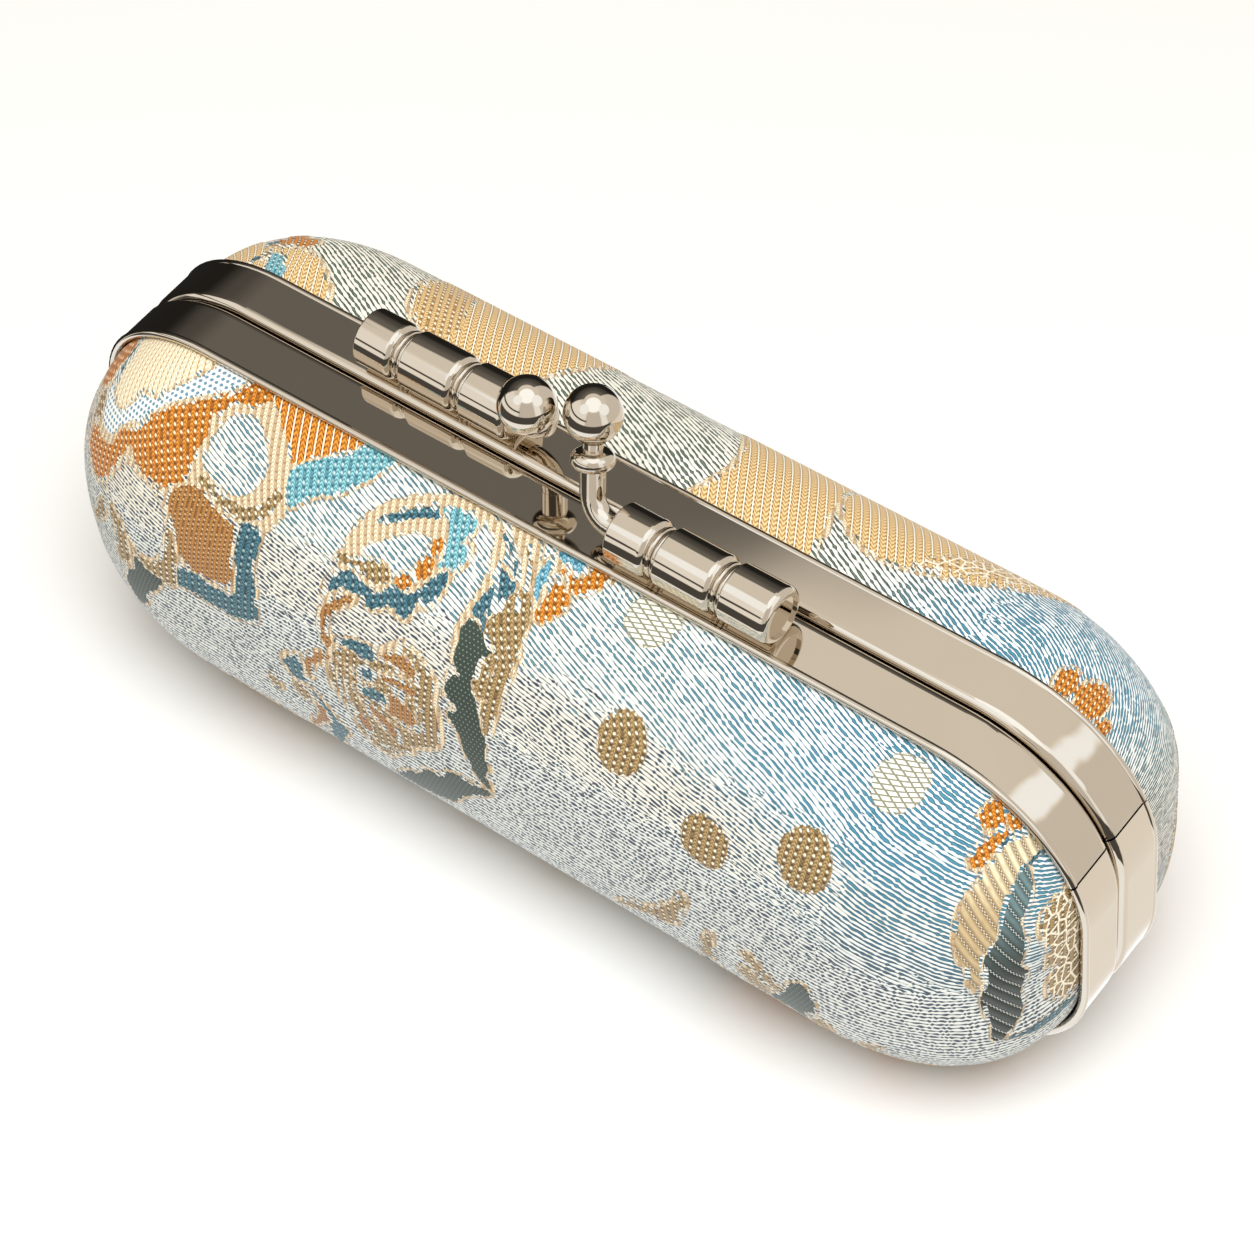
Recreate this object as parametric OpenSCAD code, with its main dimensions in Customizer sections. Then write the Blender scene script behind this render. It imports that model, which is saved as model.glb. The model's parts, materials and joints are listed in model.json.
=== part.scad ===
// Hard clamshell case covered in woven cloth, with a metal frame and a crossed-ball clasp.
// The case stands on its hinge side and leans a few degrees onto the front strip's edge.
// Case frame: X along the case, +Y to the back, +Z towards the clasp, split plane at Y = 0.

/* [Case] */
// Length of the frame outline
case_l = 164; // [130:1:200]
// Height of the frame outline, hinge side to clasp side
case_h = 58; // [50:1:75]
// Corner radius of the frame outline
corner_r = 22.5; // [16:0.5:24]
// Depth of the front dome beyond its strip
front_depth = 21; // [14:0.5:30]
// Depth of the back dome beyond its strip
back_depth = 23.5; // [14:0.5:30]
// Fullness of the domes, 2 is an ellipse and more is squarer
dome_power = 2.2; // [2:0.1:3]
// Share of the inset that the domes' corners lose in radius
corner_taper = 0.4; // [0.2:0.05:0.6]

/* [Frame strips] */
// Width of each strip, split plane to cloth edge
strip_w = 8.3; // [7:0.1:11]
// Thickness of the strip's outer wall
strip_t = 1; // [0.8:0.1:1.4]
// Gap from each strip to the split plane
rim_gap = 0.15; // [0.1:0.05:0.4]
// Thickness of the rim that faces the other half
rim_t = 1.2; // [0.9:0.1:1.8]
// Rounding of the rim's outer edge
rim_r = 1.3; // [0.4:0.1:1.4]
// Diameter of the bead along the cloth edge
bead_d = 1.2; // [0.9:0.1:1.4]
// How far the bead stands proud of the strip
bead_proud = 0.15; // [0.05:0.05:0.3]
// Thickness of the inner leg that traps the lining
leg_t = 0.8; // [0.6:0.1:1.2]
// Depth of the inner leg from the split plane
leg_d = 5.6; // [4:0.1:7]
// Height of the butt seam above the middle of the right end
seam_rise = 15.5; // [10:0.5:20]
// Width of the butt seam
seam_gap = 0.3; // [0.2:0.05:0.5]
// Length of the plate behind the butt seam
seam_plate_l = 11; // [7:0.5:14]
// Thickness of the plate behind the butt seam
seam_plate_t = 0.6; // [0.4:0.05:0.7]

/* [Shells] */
// Gap between the strip's wall and the cloth, filled by the edge cord
cord_d = 0.8; // [0.75:0.05:1.2]
// Thickness of the cloth cover with its thin foam back
cover_t = 0.7; // [0.5:0.1:1.2]
// Thickness of the moulded shell
shell_t = 1.3; // [1:0.1:2]
// Thickness of the lining
lining_t = 0.5; // [0.4:0.1:0.8]
// Distance from the split plane at which the shells begin
tuck_d = 1.7; // [1.5:0.1:2.5]

/* [Clasp] */
// Centre of the clasp, measured from the middle of the case
clasp_x = -2; // [-5:0.5:5]
// Diameter of each barrel
barrel_d = 8.1; // [6:0.1:8.2]
// Length of each barrel
barrel_l = 25.4; // [20:0.2:32]
// From the clasp's centre to the near end of each barrel
barrel_start = 11.5; // [10:0.5:14]
// Distance of the first groove from a barrel's left end
groove_a = 6.9; // [5:0.1:8]
// Distance of the second groove from a barrel's left end
groove_b = 17.1; // [15:0.1:18]
// Width of each groove
groove_w = 1.5; // [1:0.1:2]
// Depth of each groove
groove_depth = 0.9; // [0.5:0.1:1.2]
// Rounding of the shoulder at the right of each barrel section
shoulder_r = 1.1; // [0.6:0.1:1.4]
// Diameter of the two clasp balls
ball_d = 7.8; // [6:0.1:9]
// Side clearance with which the balls pass each other
ball_gap = 0.2; // [0.1:0.05:0.5]
// Height of the ball centres above the strips
ball_rise = 16; // [14:0.5:19]
// How far each ball centre leans past the split plane
ball_pass = 1.7; // [1:0.1:2.5]
// Diameter of the bent arms
arm_d = 3.4; // [2.6:0.1:4]
// Bend radius at the middle of the arms
elbow_r = 4; // [3:0.25:5]
// Angle through which the arms bend
elbow_angle = 78; // [70:1:84]
// Diameter of the turned bead under each ball
bead_ring_d = 5.9; // [4.5:0.1:7]
// Thickness of the turned bead under each ball
bead_ring_t = 2.6; // [2:0.1:3.4]
// Diameter of the clasp's rivets
clasp_rivet_d = 1.8; // [1.4:0.1:2.4]

/* [Hinges] */
// Distance of each hinge from the middle of the case
hinge_x = 44; // [30:1:46]
// Length of each hinge
hinge_l = 13; // [10:0.5:18]
// Outer diameter of the hinge knuckles
knuckle_d = 2.6; // [2.4:0.05:3]
// Diameter of the hinge pins
pin_d = 1; // [0.8:0.05:1.2]
// Thickness of the hinge leaves
leaf_t = 0.55; // [0.4:0.05:0.7]
// Depth of the hinge leaves along the strips
leaf_w = 6.2; // [5:0.1:6.5]
// Diameter of the hinge rivets
hinge_rivet_d = 1.1; // [0.8:0.1:1.4]

/* [Hidden] */
$fn = 48;

// Fits and small clearances
fit = 0.02;
running = 0.05;
seat = 0.1;
side_play = 0.2;
facet_room = 0.15;
eps = 0.01;

// Sizes that follow from the driving ones
half_l = case_l / 2;
half_h = case_h / 2;
bead_r = bead_d / 2;
bead_n = bead_r - bead_proud;
cover_n = strip_t + cord_d;
shell_n = cover_n + cover_t;
lining_n = shell_n + shell_t;
inside_n = lining_n + lining_t;
leg_n = inside_n + facet_room;
knuckle_r = knuckle_d / 2;

// Lean of the standing case: one line touches the knuckles and the front strip's bead
lean_arm = strip_w - bead_r;
lean_span = sqrt(lean_arm * lean_arm + bead_n * bead_n);
lean = atan(bead_n / lean_arm) + asin((knuckle_r - bead_r) / lean_span);

// Rings that draw the domes
arc_steps = 10;
dome_steps = 9;
dome_end = 86;
ring_size = 4 * (arc_steps + 1);
ring_count = dome_steps + 2;

function sum_power(x) = pow(x, 2 / dome_power);

// One closed ring of the rounded outline, set in by n, at depth d
function ring(n, corner, d) =
  let (a = half_l - n, b = half_h - n, r = max(min(corner, b), 0.2))
  [for (q = [0:3]) for (i = [0:arc_steps])
    let (
      angle = 90 * q + 90 * i / arc_steps,
      cx = (q == 0 || q == 3 ? 1 : -1) * (a - r),
      cy = (q < 2 ? 1 : -1) * (b - r)
    )
    [cx + r * cos(angle), cy + r * sin(angle), d]];

// All rings of one dome surface, from its tucked edge to its crown
function dome_rings(n, depth) =
  let (crown = strip_w + depth - (n - cover_n), reach = half_h - n)
  [
    for (p = ring(n, corner_r - n, tuck_d)) p,
    for (k = [0:dome_steps])
      let (
        angle = dome_end * k / dome_steps,
        inset = reach * (1 - sum_power(cos(angle))),
        d = strip_w + (crown - strip_w) * sum_power(sin(angle))
      )
      for (p = ring(n + inset, corner_r - n - corner_taper * inset, d)) p,
  ];

// Lowest and highest place of the standing case along the floor's Y axis
function floor_y(p, side) = side * p[2] * cos(lean) - p[1] * sin(lean);
front_edge = min([for (p = dome_rings(cover_n, front_depth)) floor_y(p, -1)]);
back_edge = max([for (p = dome_rings(cover_n, back_depth)) floor_y(p, 1)]);
floor_z = -half_h * cos(lean) - knuckle_r;
stand_at = [0, -(front_edge + back_edge) / 2, -floor_z];

// Where the joint and the inner space lie in the standing frame
hinge_at = stand_at + [0, half_h * sin(lean), -half_h * cos(lean)];
echo(lean = lean, stand_at = stand_at, hinge_at = hinge_at, front_edge = front_edge, back_edge = back_edge);

// Clasp geometry
barrel_r = barrel_d / 2;
barrel_flat = 0.15;
barrel_y = strip_w / 2;
barrel_z = half_h + barrel_r - barrel_flat;
ball_x = ball_d / 2 + ball_gap / 2;
arm_hole = 3;
ball_hole = 2.4;
tip_d = 2;
neck_d = 2.7;
rivet_in = 1.8;
bend_thinning = 0.1;
arm_rise = norm([barrel_y + ball_pass, half_h + ball_rise - barrel_z]);
arm_tilt = atan((barrel_y + ball_pass) / (half_h + ball_rise - barrel_z));
stem_l = (arm_rise - elbow_r * (1 - cos(elbow_angle))) / sin(elbow_angle);
arm_reach = barrel_start - ball_x - elbow_r * sin(elbow_angle) - stem_l * cos(elbow_angle);
bead_ring_gap = 0.9;
bead_ring_at = stem_l - ball_d / 2 - bead_ring_gap - bead_ring_t / 2;

// Hinge geometry
knuckle_l = (hinge_l - 2 * side_play) / 3;
rivet_head_t = 0.5;
pin_head_d = pin_d + 0.5;
pin_head_t = 0.35;
hinge_rivet_in = 0.28;
hinge_rivet_y = 4.4;

// Colours of the finished pieces
nickel = [0.80, 0.77, 0.73];
steel = [0.62, 0.62, 0.63];
brocade = [0.80, 0.82, 0.80];
board = [0.55, 0.50, 0.44];
satin = [0.86, 0.82, 0.72];
cord_colour = [0.72, 0.66, 0.55];

// Placing the halves
module stand() {
  translate(stand_at) rotate([lean, 0, 0]) children();
}
module front_half() {
  stand() rotate([90, 0, 0]) children();
}
module back_half() {
  stand() mirror([0, 1, 0]) rotate([90, 0, 0]) children();
}
// Moves what sits on the front strip across to the same place on the back strip
module back_strip() {
  stand() translate([0, 2 * barrel_y, 0]) rotate([90, 0, 0]) children();
}

// Sweeps a section round the outline: section X is 0 at the outer face, section Y is depth
module straight_side(length, offset) {
  translate([-length / 2, offset, 0]) rotate([90, 0, 90]) linear_extrude(length) children();
}
module outline_sweep() {
  run_l = 2 * (half_l - corner_r);
  run_h = 2 * (half_h - corner_r);
  for (turn = [0, 180]) {
    rotate([0, 0, turn]) straight_side(run_l, half_h) children();
    rotate([0, 0, turn - 90]) straight_side(run_h, half_l) children();
  }
  for (q = [0:3]) {
    cx = (q == 0 || q == 3 ? 1 : -1) * run_l / 2;
    cy = (q < 2 ? 1 : -1) * run_h / 2;
    translate([cx, cy, 0]) rotate([0, 0, 90 * q]) rotate_extrude(angle = 90, $fn = 96)
      translate([corner_r, 0]) children();
  }
}

// Frame strip: wall, rounded rim, inner leg and edge bead
module strip_section() {
  difference() {
    union() {
      translate([-strip_t, rim_gap]) square([strip_t, strip_w - bead_r - rim_gap]);
      translate([-leg_n - leg_t, rim_gap]) square([leg_n + leg_t, rim_t]);
      translate([-leg_n - leg_t, rim_gap]) square([leg_t, leg_d - rim_gap]);
    }
    translate([-rim_r, rim_gap]) difference() {
      square(rim_r + eps);
      translate([0, rim_r]) circle(rim_r);
    }
  }
  translate([-bead_n, strip_w - bead_r]) circle(bead_r);
}

// A place on the butt seam's corner, turned to the seam
module at_seam(turn = 0) {
  translate([half_l - corner_r, half_h - corner_r, 0]) rotate([0, 0, seam_angle + turn]) children();
}
seam_angle = asin((seam_rise - (half_h - corner_r)) / corner_r);

module hinge_notches() {
  for (side = [-1, 1]) {
    translate([side * hinge_x - hinge_l / 2 - seat, -half_h, 0]) {
      rotate([0, 90, 0]) cylinder(r = knuckle_r + seat, h = hinge_l + 2 * seat);
      translate([-pin_head_t, 0, 0]) rotate([0, 90, 0])
        cylinder(r = pin_head_d / 2 + seat, h = hinge_l + 2 * (pin_head_t + seat));
      translate([0, -eps, 0]) cube([hinge_l + 2 * seat, leaf_t + eps, leaf_w + seat]);
    }
    for (shift = [-1, 1])
      translate([side * hinge_x + shift * hinge_l * hinge_rivet_in, -half_h - eps, hinge_rivet_y])
        rotate([-90, 0, 0]) cylinder(d = hinge_rivet_d + 2 * fit, h = strip_t + 2 * eps);
  }
}

module frame(barrel_left) {
  color(nickel) difference() {
    outline_sweep() strip_section();
    at_seam() translate([corner_r - leg_n - 2 * leg_t, -seam_gap / 2, 0])
      cube([leg_n + 3 * leg_t, seam_gap, strip_w + bead_r]);
    hinge_notches();
    for (x = clasp_rivet_places(barrel_left))
      translate([x, half_h - strip_t - eps, barrel_y]) rotate([-90, 0, 0])
        cylinder(d = clasp_rivet_d + 2 * fit, h = strip_t + 2 * eps);
  }
}

// Domed layer between two nested surfaces
module dome_layer(outer_n, thickness, depth) {
  outer = dome_rings(outer_n, depth);
  inner = dome_rings(outer_n + thickness, depth);
  inside = ring_count * ring_size;
  last = (ring_count - 1) * ring_size;
  walls = [for (k = [0:ring_count - 2]) for (i = [0:ring_size - 1])
    let (j = (i + 1) % ring_size, a = k * ring_size, b = a + ring_size)
    [a + i, b + i, b + j, a + j]];
  rim = [for (i = [0:ring_size - 1]) let (j = (i + 1) % ring_size) [i, j, inside + j, inside + i]];
  outer_cap = [for (i = [ring_size - 1:-1:0]) last + i];
  inner_cap = [for (i = [0:ring_size - 1]) inside + last + i];
  inner_walls = [for (w = walls) [inside + w[3], inside + w[2], inside + w[1], inside + w[0]]];
  polyhedron(concat(outer, inner), concat(walls, inner_walls, rim, [outer_cap], [inner_cap]));
}

module shell(depth) {
  color(board) dome_layer(shell_n, shell_t, depth);
}
module cover(depth) {
  color(brocade) dome_layer(cover_n, cover_t, depth);
}
module lining(depth) {
  color(satin) dome_layer(lining_n, lining_t, depth);
}

// Twisted paper cord wedged between the strip and the cloth
module edge_cord() {
  color(cord_colour) outline_sweep()
    translate([-strip_t - cord_d / 2, rim_gap + rim_t + cord_d / 2 + seat]) circle(d = cord_d - 2 * fit);
}

// Curved plate behind the butt seam
module seam_plate() {
  sweep_angle = seam_plate_l / corner_r * 180 / PI;
  plate_d = leg_d - rim_gap - rim_t;
  color(nickel) at_seam(-sweep_angle / 2) rotate_extrude(angle = sweep_angle, $fn = 96)
    translate([corner_r - strip_t - seam_plate_t, strip_w - bead_d - plate_d + seat])
      square([seam_plate_t - fit, plate_d - seat]);
}

// Clasp barrel: three sections with ringed grooves, from its left end towards +X
function barrel_left_end(right_side) =
  right_side ? clasp_x + barrel_start : clasp_x - barrel_start - barrel_l;
function clasp_rivet_places(left_end) = [left_end + groove_a / 2, left_end + (groove_b + barrel_l) / 2];

module rounded_bar(radius, length, start_r, end_r) {
  rotate([0, 90, 0]) rotate_extrude() {
    square([radius - end_r, length]);
    square([radius - start_r, length / 2]);
    translate([0, start_r]) square([radius, length - start_r - end_r]);
    translate([radius - start_r, start_r]) circle(start_r);
    translate([radius - end_r, length - end_r]) circle(end_r);
  }
}

module groove_ring(at) {
  ring_r = 0.4;
  translate([at - groove_w * 0.28, 0, 0]) rotate([0, 90, 0]) rotate_extrude()
    translate([barrel_r - groove_depth, 0]) circle(ring_r);
  translate([at + groove_w * 0.28, 0, 0]) rotate([0, 90, 0]) rotate_extrude()
    translate([barrel_r - groove_depth, 0]) circle(ring_r);
}

module barrel(left_end, arm_on_left) {
  starts = [0, groove_a + groove_w / 2, groove_b + groove_w / 2];
  ends = [groove_a - groove_w / 2, groove_b - groove_w / 2, barrel_l];
  edge_r = 0.3;
  dish = 0.35;
  color(nickel) difference() {
    translate([left_end, barrel_z, barrel_y]) {
      for (k = [0:2])
        translate([starts[k], 0, 0]) rounded_bar(barrel_r, ends[k] - starts[k], edge_r, shoulder_r);
      rotate([0, 90, 0]) translate([0, 0, edge_r]) cylinder(r = barrel_r - groove_depth, h = barrel_l - 2 * edge_r);
      groove_ring(groove_a);
      groove_ring(groove_b);
    }
    translate([left_end - eps, half_h - barrel_d, 0]) cube([barrel_l + 2 * eps, barrel_d, 2 * strip_w]);
    translate([left_end + (arm_on_left ? -eps : barrel_l - arm_hole), barrel_z, barrel_y])
      rotate([0, 90, 0]) cylinder(d = arm_d + 2 * fit, h = arm_hole + eps);
    translate([left_end + (arm_on_left ? barrel_l - dish : -eps), barrel_z, barrel_y])
      rotate([0, 90, 0]) cylinder(r = barrel_r - shoulder_r, h = dish + eps);
    for (x = clasp_rivet_places(left_end))
      translate([x, half_h - eps, barrel_y]) rotate([-90, 0, 0])
        cylinder(d = clasp_rivet_d + 2 * fit, h = rivet_in + eps);
  }
}

// Rivets that pass through the strip into the barrel
module clasp_rivets(left_end) {
  color(steel) for (x = clasp_rivet_places(left_end))
    translate([x, half_h - strip_t, barrel_y]) rotate([-90, 0, 0]) {
      cylinder(d = clasp_rivet_d, h = strip_t + rivet_in - seat);
      translate([0, 0, -rivet_head_t]) cylinder(d = 1.7 * clasp_rivet_d, h = rivet_head_t);
    }
}

// Places children on the barrel's axis at its near end, with +Y along the arm's rise
module on_arm() {
  translate([barrel_start, barrel_z, barrel_y]) rotate([-arm_tilt, 0, 0]) children();
}

// Places children at the end of the arm's bend, with +Z along the stem
module on_stem() {
  on_arm() translate([-arm_reach - elbow_r * sin(elbow_angle), elbow_r * (1 - cos(elbow_angle)), 0])
    rotate([-90, 0, 0]) rotate([0, elbow_angle - 90, 0]) children();
}

// Bent arm that rises from a barrel's end, a little thinner round its bend, with its turned bead
module clasp_arm() {
  bulge = bead_ring_t / 2;
  color(nickel) on_arm() {
    translate([-arm_reach, 0, 0]) rotate([0, 90, 0]) cylinder(d = arm_d, h = arm_reach + arm_hole - seat);
    translate([-arm_reach, elbow_r, 0]) rotate([0, 0, -90 - elbow_angle])
      rotate_extrude(angle = elbow_angle) translate([elbow_r, 0]) circle(d = arm_d - bend_thinning);
  }
  color(nickel) on_stem() {
    rotate_extrude() {
      square([arm_d / 2, bead_ring_at]);
      square([neck_d / 2, stem_l - ball_d / 2 + seat]);
      square([tip_d / 2, stem_l - ball_d / 2 + ball_hole - seat]);
      translate([0, bead_ring_at - bulge]) square([bead_ring_d / 2 - bulge, bead_ring_t]);
      translate([bead_ring_d / 2 - bulge, bead_ring_at]) circle(bulge);
    }
  }
}

module clasp_ball() {
  color(nickel) difference() {
    on_stem() translate([0, 0, stem_l]) sphere(d = ball_d);
    on_stem() translate([0, 0, stem_l - ball_d]) cylinder(d = tip_d + 2 * fit, h = ball_d / 2 + ball_hole);
    on_stem() translate([0, 0, stem_l - ball_d]) cylinder(d = neck_d + 2 * fit, h = ball_d / 2 + 2 * seat);
  }
}

// The two clasp arms are one shape, turned half round about the clasp's centre
module clasp_side(turn) {
  stand() translate([clasp_x, 0, 0]) rotate([0, 0, turn]) rotate([90, 0, 0]) children();
}

// Hinge leaves, pins and rivets, in the local frame of a half
module knuckle(at, length, bore) {
  translate([at, -half_h, 0]) rotate([0, 90, 0]) difference() {
    cylinder(r = knuckle_r, h = length);
    translate([0, 0, -eps]) cylinder(d = pin_d + 2 * bore, h = length + 2 * eps);
  }
}

module hinge_leaf(side, outer) {
  left = side * hinge_x - hinge_l / 2;
  places = outer ? [left, left + hinge_l - knuckle_l] : [left + knuckle_l + side_play];
  plate_from = knuckle_r + seat;
  color(nickel) {
    for (x = places) {
      knuckle(x, knuckle_l, outer ? fit : running);
      difference() {
        translate([x, -half_h, 0]) cube([knuckle_l, leaf_t, knuckle_r + 2 * seat]);
        translate([x - eps, -half_h, 0]) rotate([0, 90, 0]) cylinder(r = knuckle_r - seat, h = knuckle_l + 2 * eps);
      }
    }
    difference() {
      translate([left, -half_h, plate_from]) cube([hinge_l, leaf_t, leaf_w - plate_from]);
      hinge_rivet_holes(side);
    }
  }
}

module hinge_rivet_holes(side) {
  for (shift = [-1, 1])
    translate([side * hinge_x + shift * hinge_l * hinge_rivet_in, -half_h - eps, hinge_rivet_y])
      rotate([-90, 0, 0]) cylinder(d = hinge_rivet_d + 2 * fit, h = strip_t);
}

module hinge_rivets() {
  color(steel) for (side = [-1, 1]) for (shift = [-1, 1])
    translate([side * hinge_x + shift * hinge_l * hinge_rivet_in, -half_h, hinge_rivet_y])
      rotate([-90, 0, 0]) {
        cylinder(d = hinge_rivet_d, h = strip_t);
        translate([0, 0, strip_t]) cylinder(d = 2 * hinge_rivet_d, h = rivet_head_t);
      }
}

module hinge_pin(side) {
  color(steel) translate([side * hinge_x - hinge_l / 2, -half_h, 0]) rotate([0, 90, 0]) {
    cylinder(d = pin_d, h = hinge_l);
    translate([0, 0, -pin_head_t]) cylinder(d = pin_head_d, h = pin_head_t);
    translate([0, 0, hinge_l]) cylinder(d = pin_head_d, h = pin_head_t);
  }
}

front_left_end = barrel_left_end(true);
back_left_end = barrel_left_end(false);

front_half() frame(front_left_end);  // front_frame
front_half() shell(front_depth);  // front_shell
front_half() cover(front_depth);  // front_cover
front_half() lining(front_depth);  // front_lining
front_half() edge_cord();  // front_edge_cord
front_half() seam_plate();  // front_seam_plate
front_half() barrel(front_left_end, true);  // front_clasp_barrel
clasp_side(0) clasp_arm();  // front_clasp_arm
clasp_side(0) clasp_ball();  // front_clasp_ball
front_half() clasp_rivets(front_left_end);  // front_clasp_rivets
front_half() hinge_leaf(-1, true);  // left_hinge_front_leaf
front_half() hinge_leaf(1, true);  // right_hinge_front_leaf
front_half() hinge_pin(-1);  // left_hinge_pin
front_half() hinge_pin(1);  // right_hinge_pin
front_half() hinge_rivets();  // front_hinge_rivets
back_half() frame(back_left_end);  // back_frame
back_half() shell(back_depth);  // back_shell
back_half() cover(back_depth);  // back_cover
back_half() lining(back_depth);  // back_lining
back_half() edge_cord();  // back_edge_cord
back_half() seam_plate();  // back_seam_plate
back_strip() barrel(back_left_end, false);  // back_clasp_barrel
clasp_side(180) clasp_arm();  // back_clasp_arm
clasp_side(180) clasp_ball();  // back_clasp_ball
back_strip() clasp_rivets(back_left_end);  // back_clasp_rivets
back_half() hinge_leaf(-1, false);  // left_hinge_back_leaf
back_half() hinge_leaf(1, false);  // right_hinge_back_leaf
back_half() hinge_rivets();  // back_hinge_rivets
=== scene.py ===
"""Looks of a brocade clasp case: woven covers, polished frame, kiss-lock clasp and satin lining."""
import json
import math

import bpy
import numpy as np
from mathutils import Matrix, Vector


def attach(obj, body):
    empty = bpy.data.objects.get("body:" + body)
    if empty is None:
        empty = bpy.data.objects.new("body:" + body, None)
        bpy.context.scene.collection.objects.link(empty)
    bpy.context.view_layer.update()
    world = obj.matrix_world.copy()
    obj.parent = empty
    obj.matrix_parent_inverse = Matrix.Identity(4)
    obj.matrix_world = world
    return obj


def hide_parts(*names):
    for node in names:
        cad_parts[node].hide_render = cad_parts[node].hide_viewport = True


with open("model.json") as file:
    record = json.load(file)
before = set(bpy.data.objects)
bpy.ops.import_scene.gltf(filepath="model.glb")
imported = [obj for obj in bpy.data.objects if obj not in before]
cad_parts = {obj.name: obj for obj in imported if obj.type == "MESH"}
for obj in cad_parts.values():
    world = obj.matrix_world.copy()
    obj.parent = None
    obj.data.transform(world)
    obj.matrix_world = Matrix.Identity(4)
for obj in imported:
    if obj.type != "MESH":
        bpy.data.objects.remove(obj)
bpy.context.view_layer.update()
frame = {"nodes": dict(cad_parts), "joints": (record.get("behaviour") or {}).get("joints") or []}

MM = 0.001

# Driving sizes of the case in millimetres. N is measured in from the outline, D from the split
HALF_L = 82.0
HALF_H = 29.0
CORNER_R = 22.5
STRIP_W = 8.3
COVER_N = 1.8
INSIDE_N = 4.3
TUCK_D = 1.7
DOME_POWER = 2.2
CORNER_TAPER = 0.4
DOME_DEPTH = {"front": 21.0, "back": 23.5}
LEAN = math.radians(8.55165)
HINGE = Vector(frame["joints"][0]["pos_m"]) / MM
STAND_AT = HINGE + Vector((0, -HALF_H * math.sin(LEAN), HALF_H * math.cos(LEAN)))

# The camera of the photograph
AIM = Vector((1.56, 1.21, 30.62)) * MM
AZIMUTH = math.radians(37.844)
ELEVATION = math.radians(45.227)
DISTANCE = 504.31 * MM
LENS = 107.336
SENSOR = 36.0

# Relief of the cloth in millimetres, and its flat map
MOTIF_RISE, EDGE_RUN = 0.14, 0.45
SWELL, SWELL_RUN = 0.45, 3.0
PUCKER = 0.12
CLOTH_MAP, FLAT_SIZE, PATTERN_SHIFT = "cloth", 220.0, 0.5

# The case frame's axes in the row frame, and a half's own axes: x along, y up, z away from the split
case_axes = Matrix.Translation(STAND_AT) @ Matrix.Rotation(LEAN, 4, "X")
HALF_AXES = {
    "front": case_axes @ Matrix(((1, 0, 0, 0), (0, 0, -1, 0), (0, 1, 0, 0), (0, 0, 0, 1))),
    "back": case_axes @ Matrix(((1, 0, 0, 0), (0, 0, 1, 0), (0, 1, 0, 0), (0, 0, 0, 1))),
}


def linear(red, green, blue):
    """A colour given as it looks on screen, 0 to 255, as the shader needs it."""
    shown = [c / 255 for c in (red, green, blue)]
    return tuple(c / 12.92 if c <= 0.04045 else ((c + 0.055) / 1.055) ** 2.4 for c in shown) + (1.0,)


# Node graphs written as formulas
class Value:
    """A number in a node graph, which takes part in plain formulas."""

    def __init__(self, tree, socket):
        self.tree = tree
        self.socket = socket

    def math(self, operation, *others):
        node = self.tree.nodes.new("ShaderNodeMath")
        node.operation = operation
        for slot, value in enumerate((self, *others)):
            if isinstance(value, Value):
                self.tree.links.new(value.socket, node.inputs[slot])
            else:
                node.inputs[slot].default_value = value
        return Value(self.tree, node.outputs[0])

    def __add__(self, other):
        return self.math("ADD", other)

    def __sub__(self, other):
        return self.math("SUBTRACT", other)

    def __mul__(self, other):
        return self.math("MULTIPLY", other)

    def __truediv__(self, other):
        return self.math("DIVIDE", other)

    def minus_from(self, whole):
        return (self * -1.0) + whole

    def floor(self):
        return self.math("FLOOR")

    def fract(self):
        return self.math("FRACT")

    def abs(self):
        return self.math("ABSOLUTE")

    def highest(self, other):
        return self.math("MAXIMUM", other)

    def lowest(self, other):
        return self.math("MINIMUM", other)

    def ramp(self, low, high):
        """0 below low, 1 above high, and a smooth step between."""
        node = self.tree.nodes.new("ShaderNodeMapRange")
        node.interpolation_type = "SMOOTHSTEP"
        self.tree.links.new(self.socket, node.inputs["Value"])
        node.inputs["From Min"].default_value = low
        node.inputs["From Max"].default_value = high
        return Value(self.tree, node.outputs["Result"])

    def off(self, place):
        """Distance from place."""
        return (self - place).abs()

    def off_middle(self):
        """Distance from the middle of the whole step that the value lies in."""
        return self.fract().off(0.5)

    def near(self, place, width):
        """1 at place, falling to 0 at width from it."""
        return self.off(place).ramp(width, 0.0)


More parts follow.
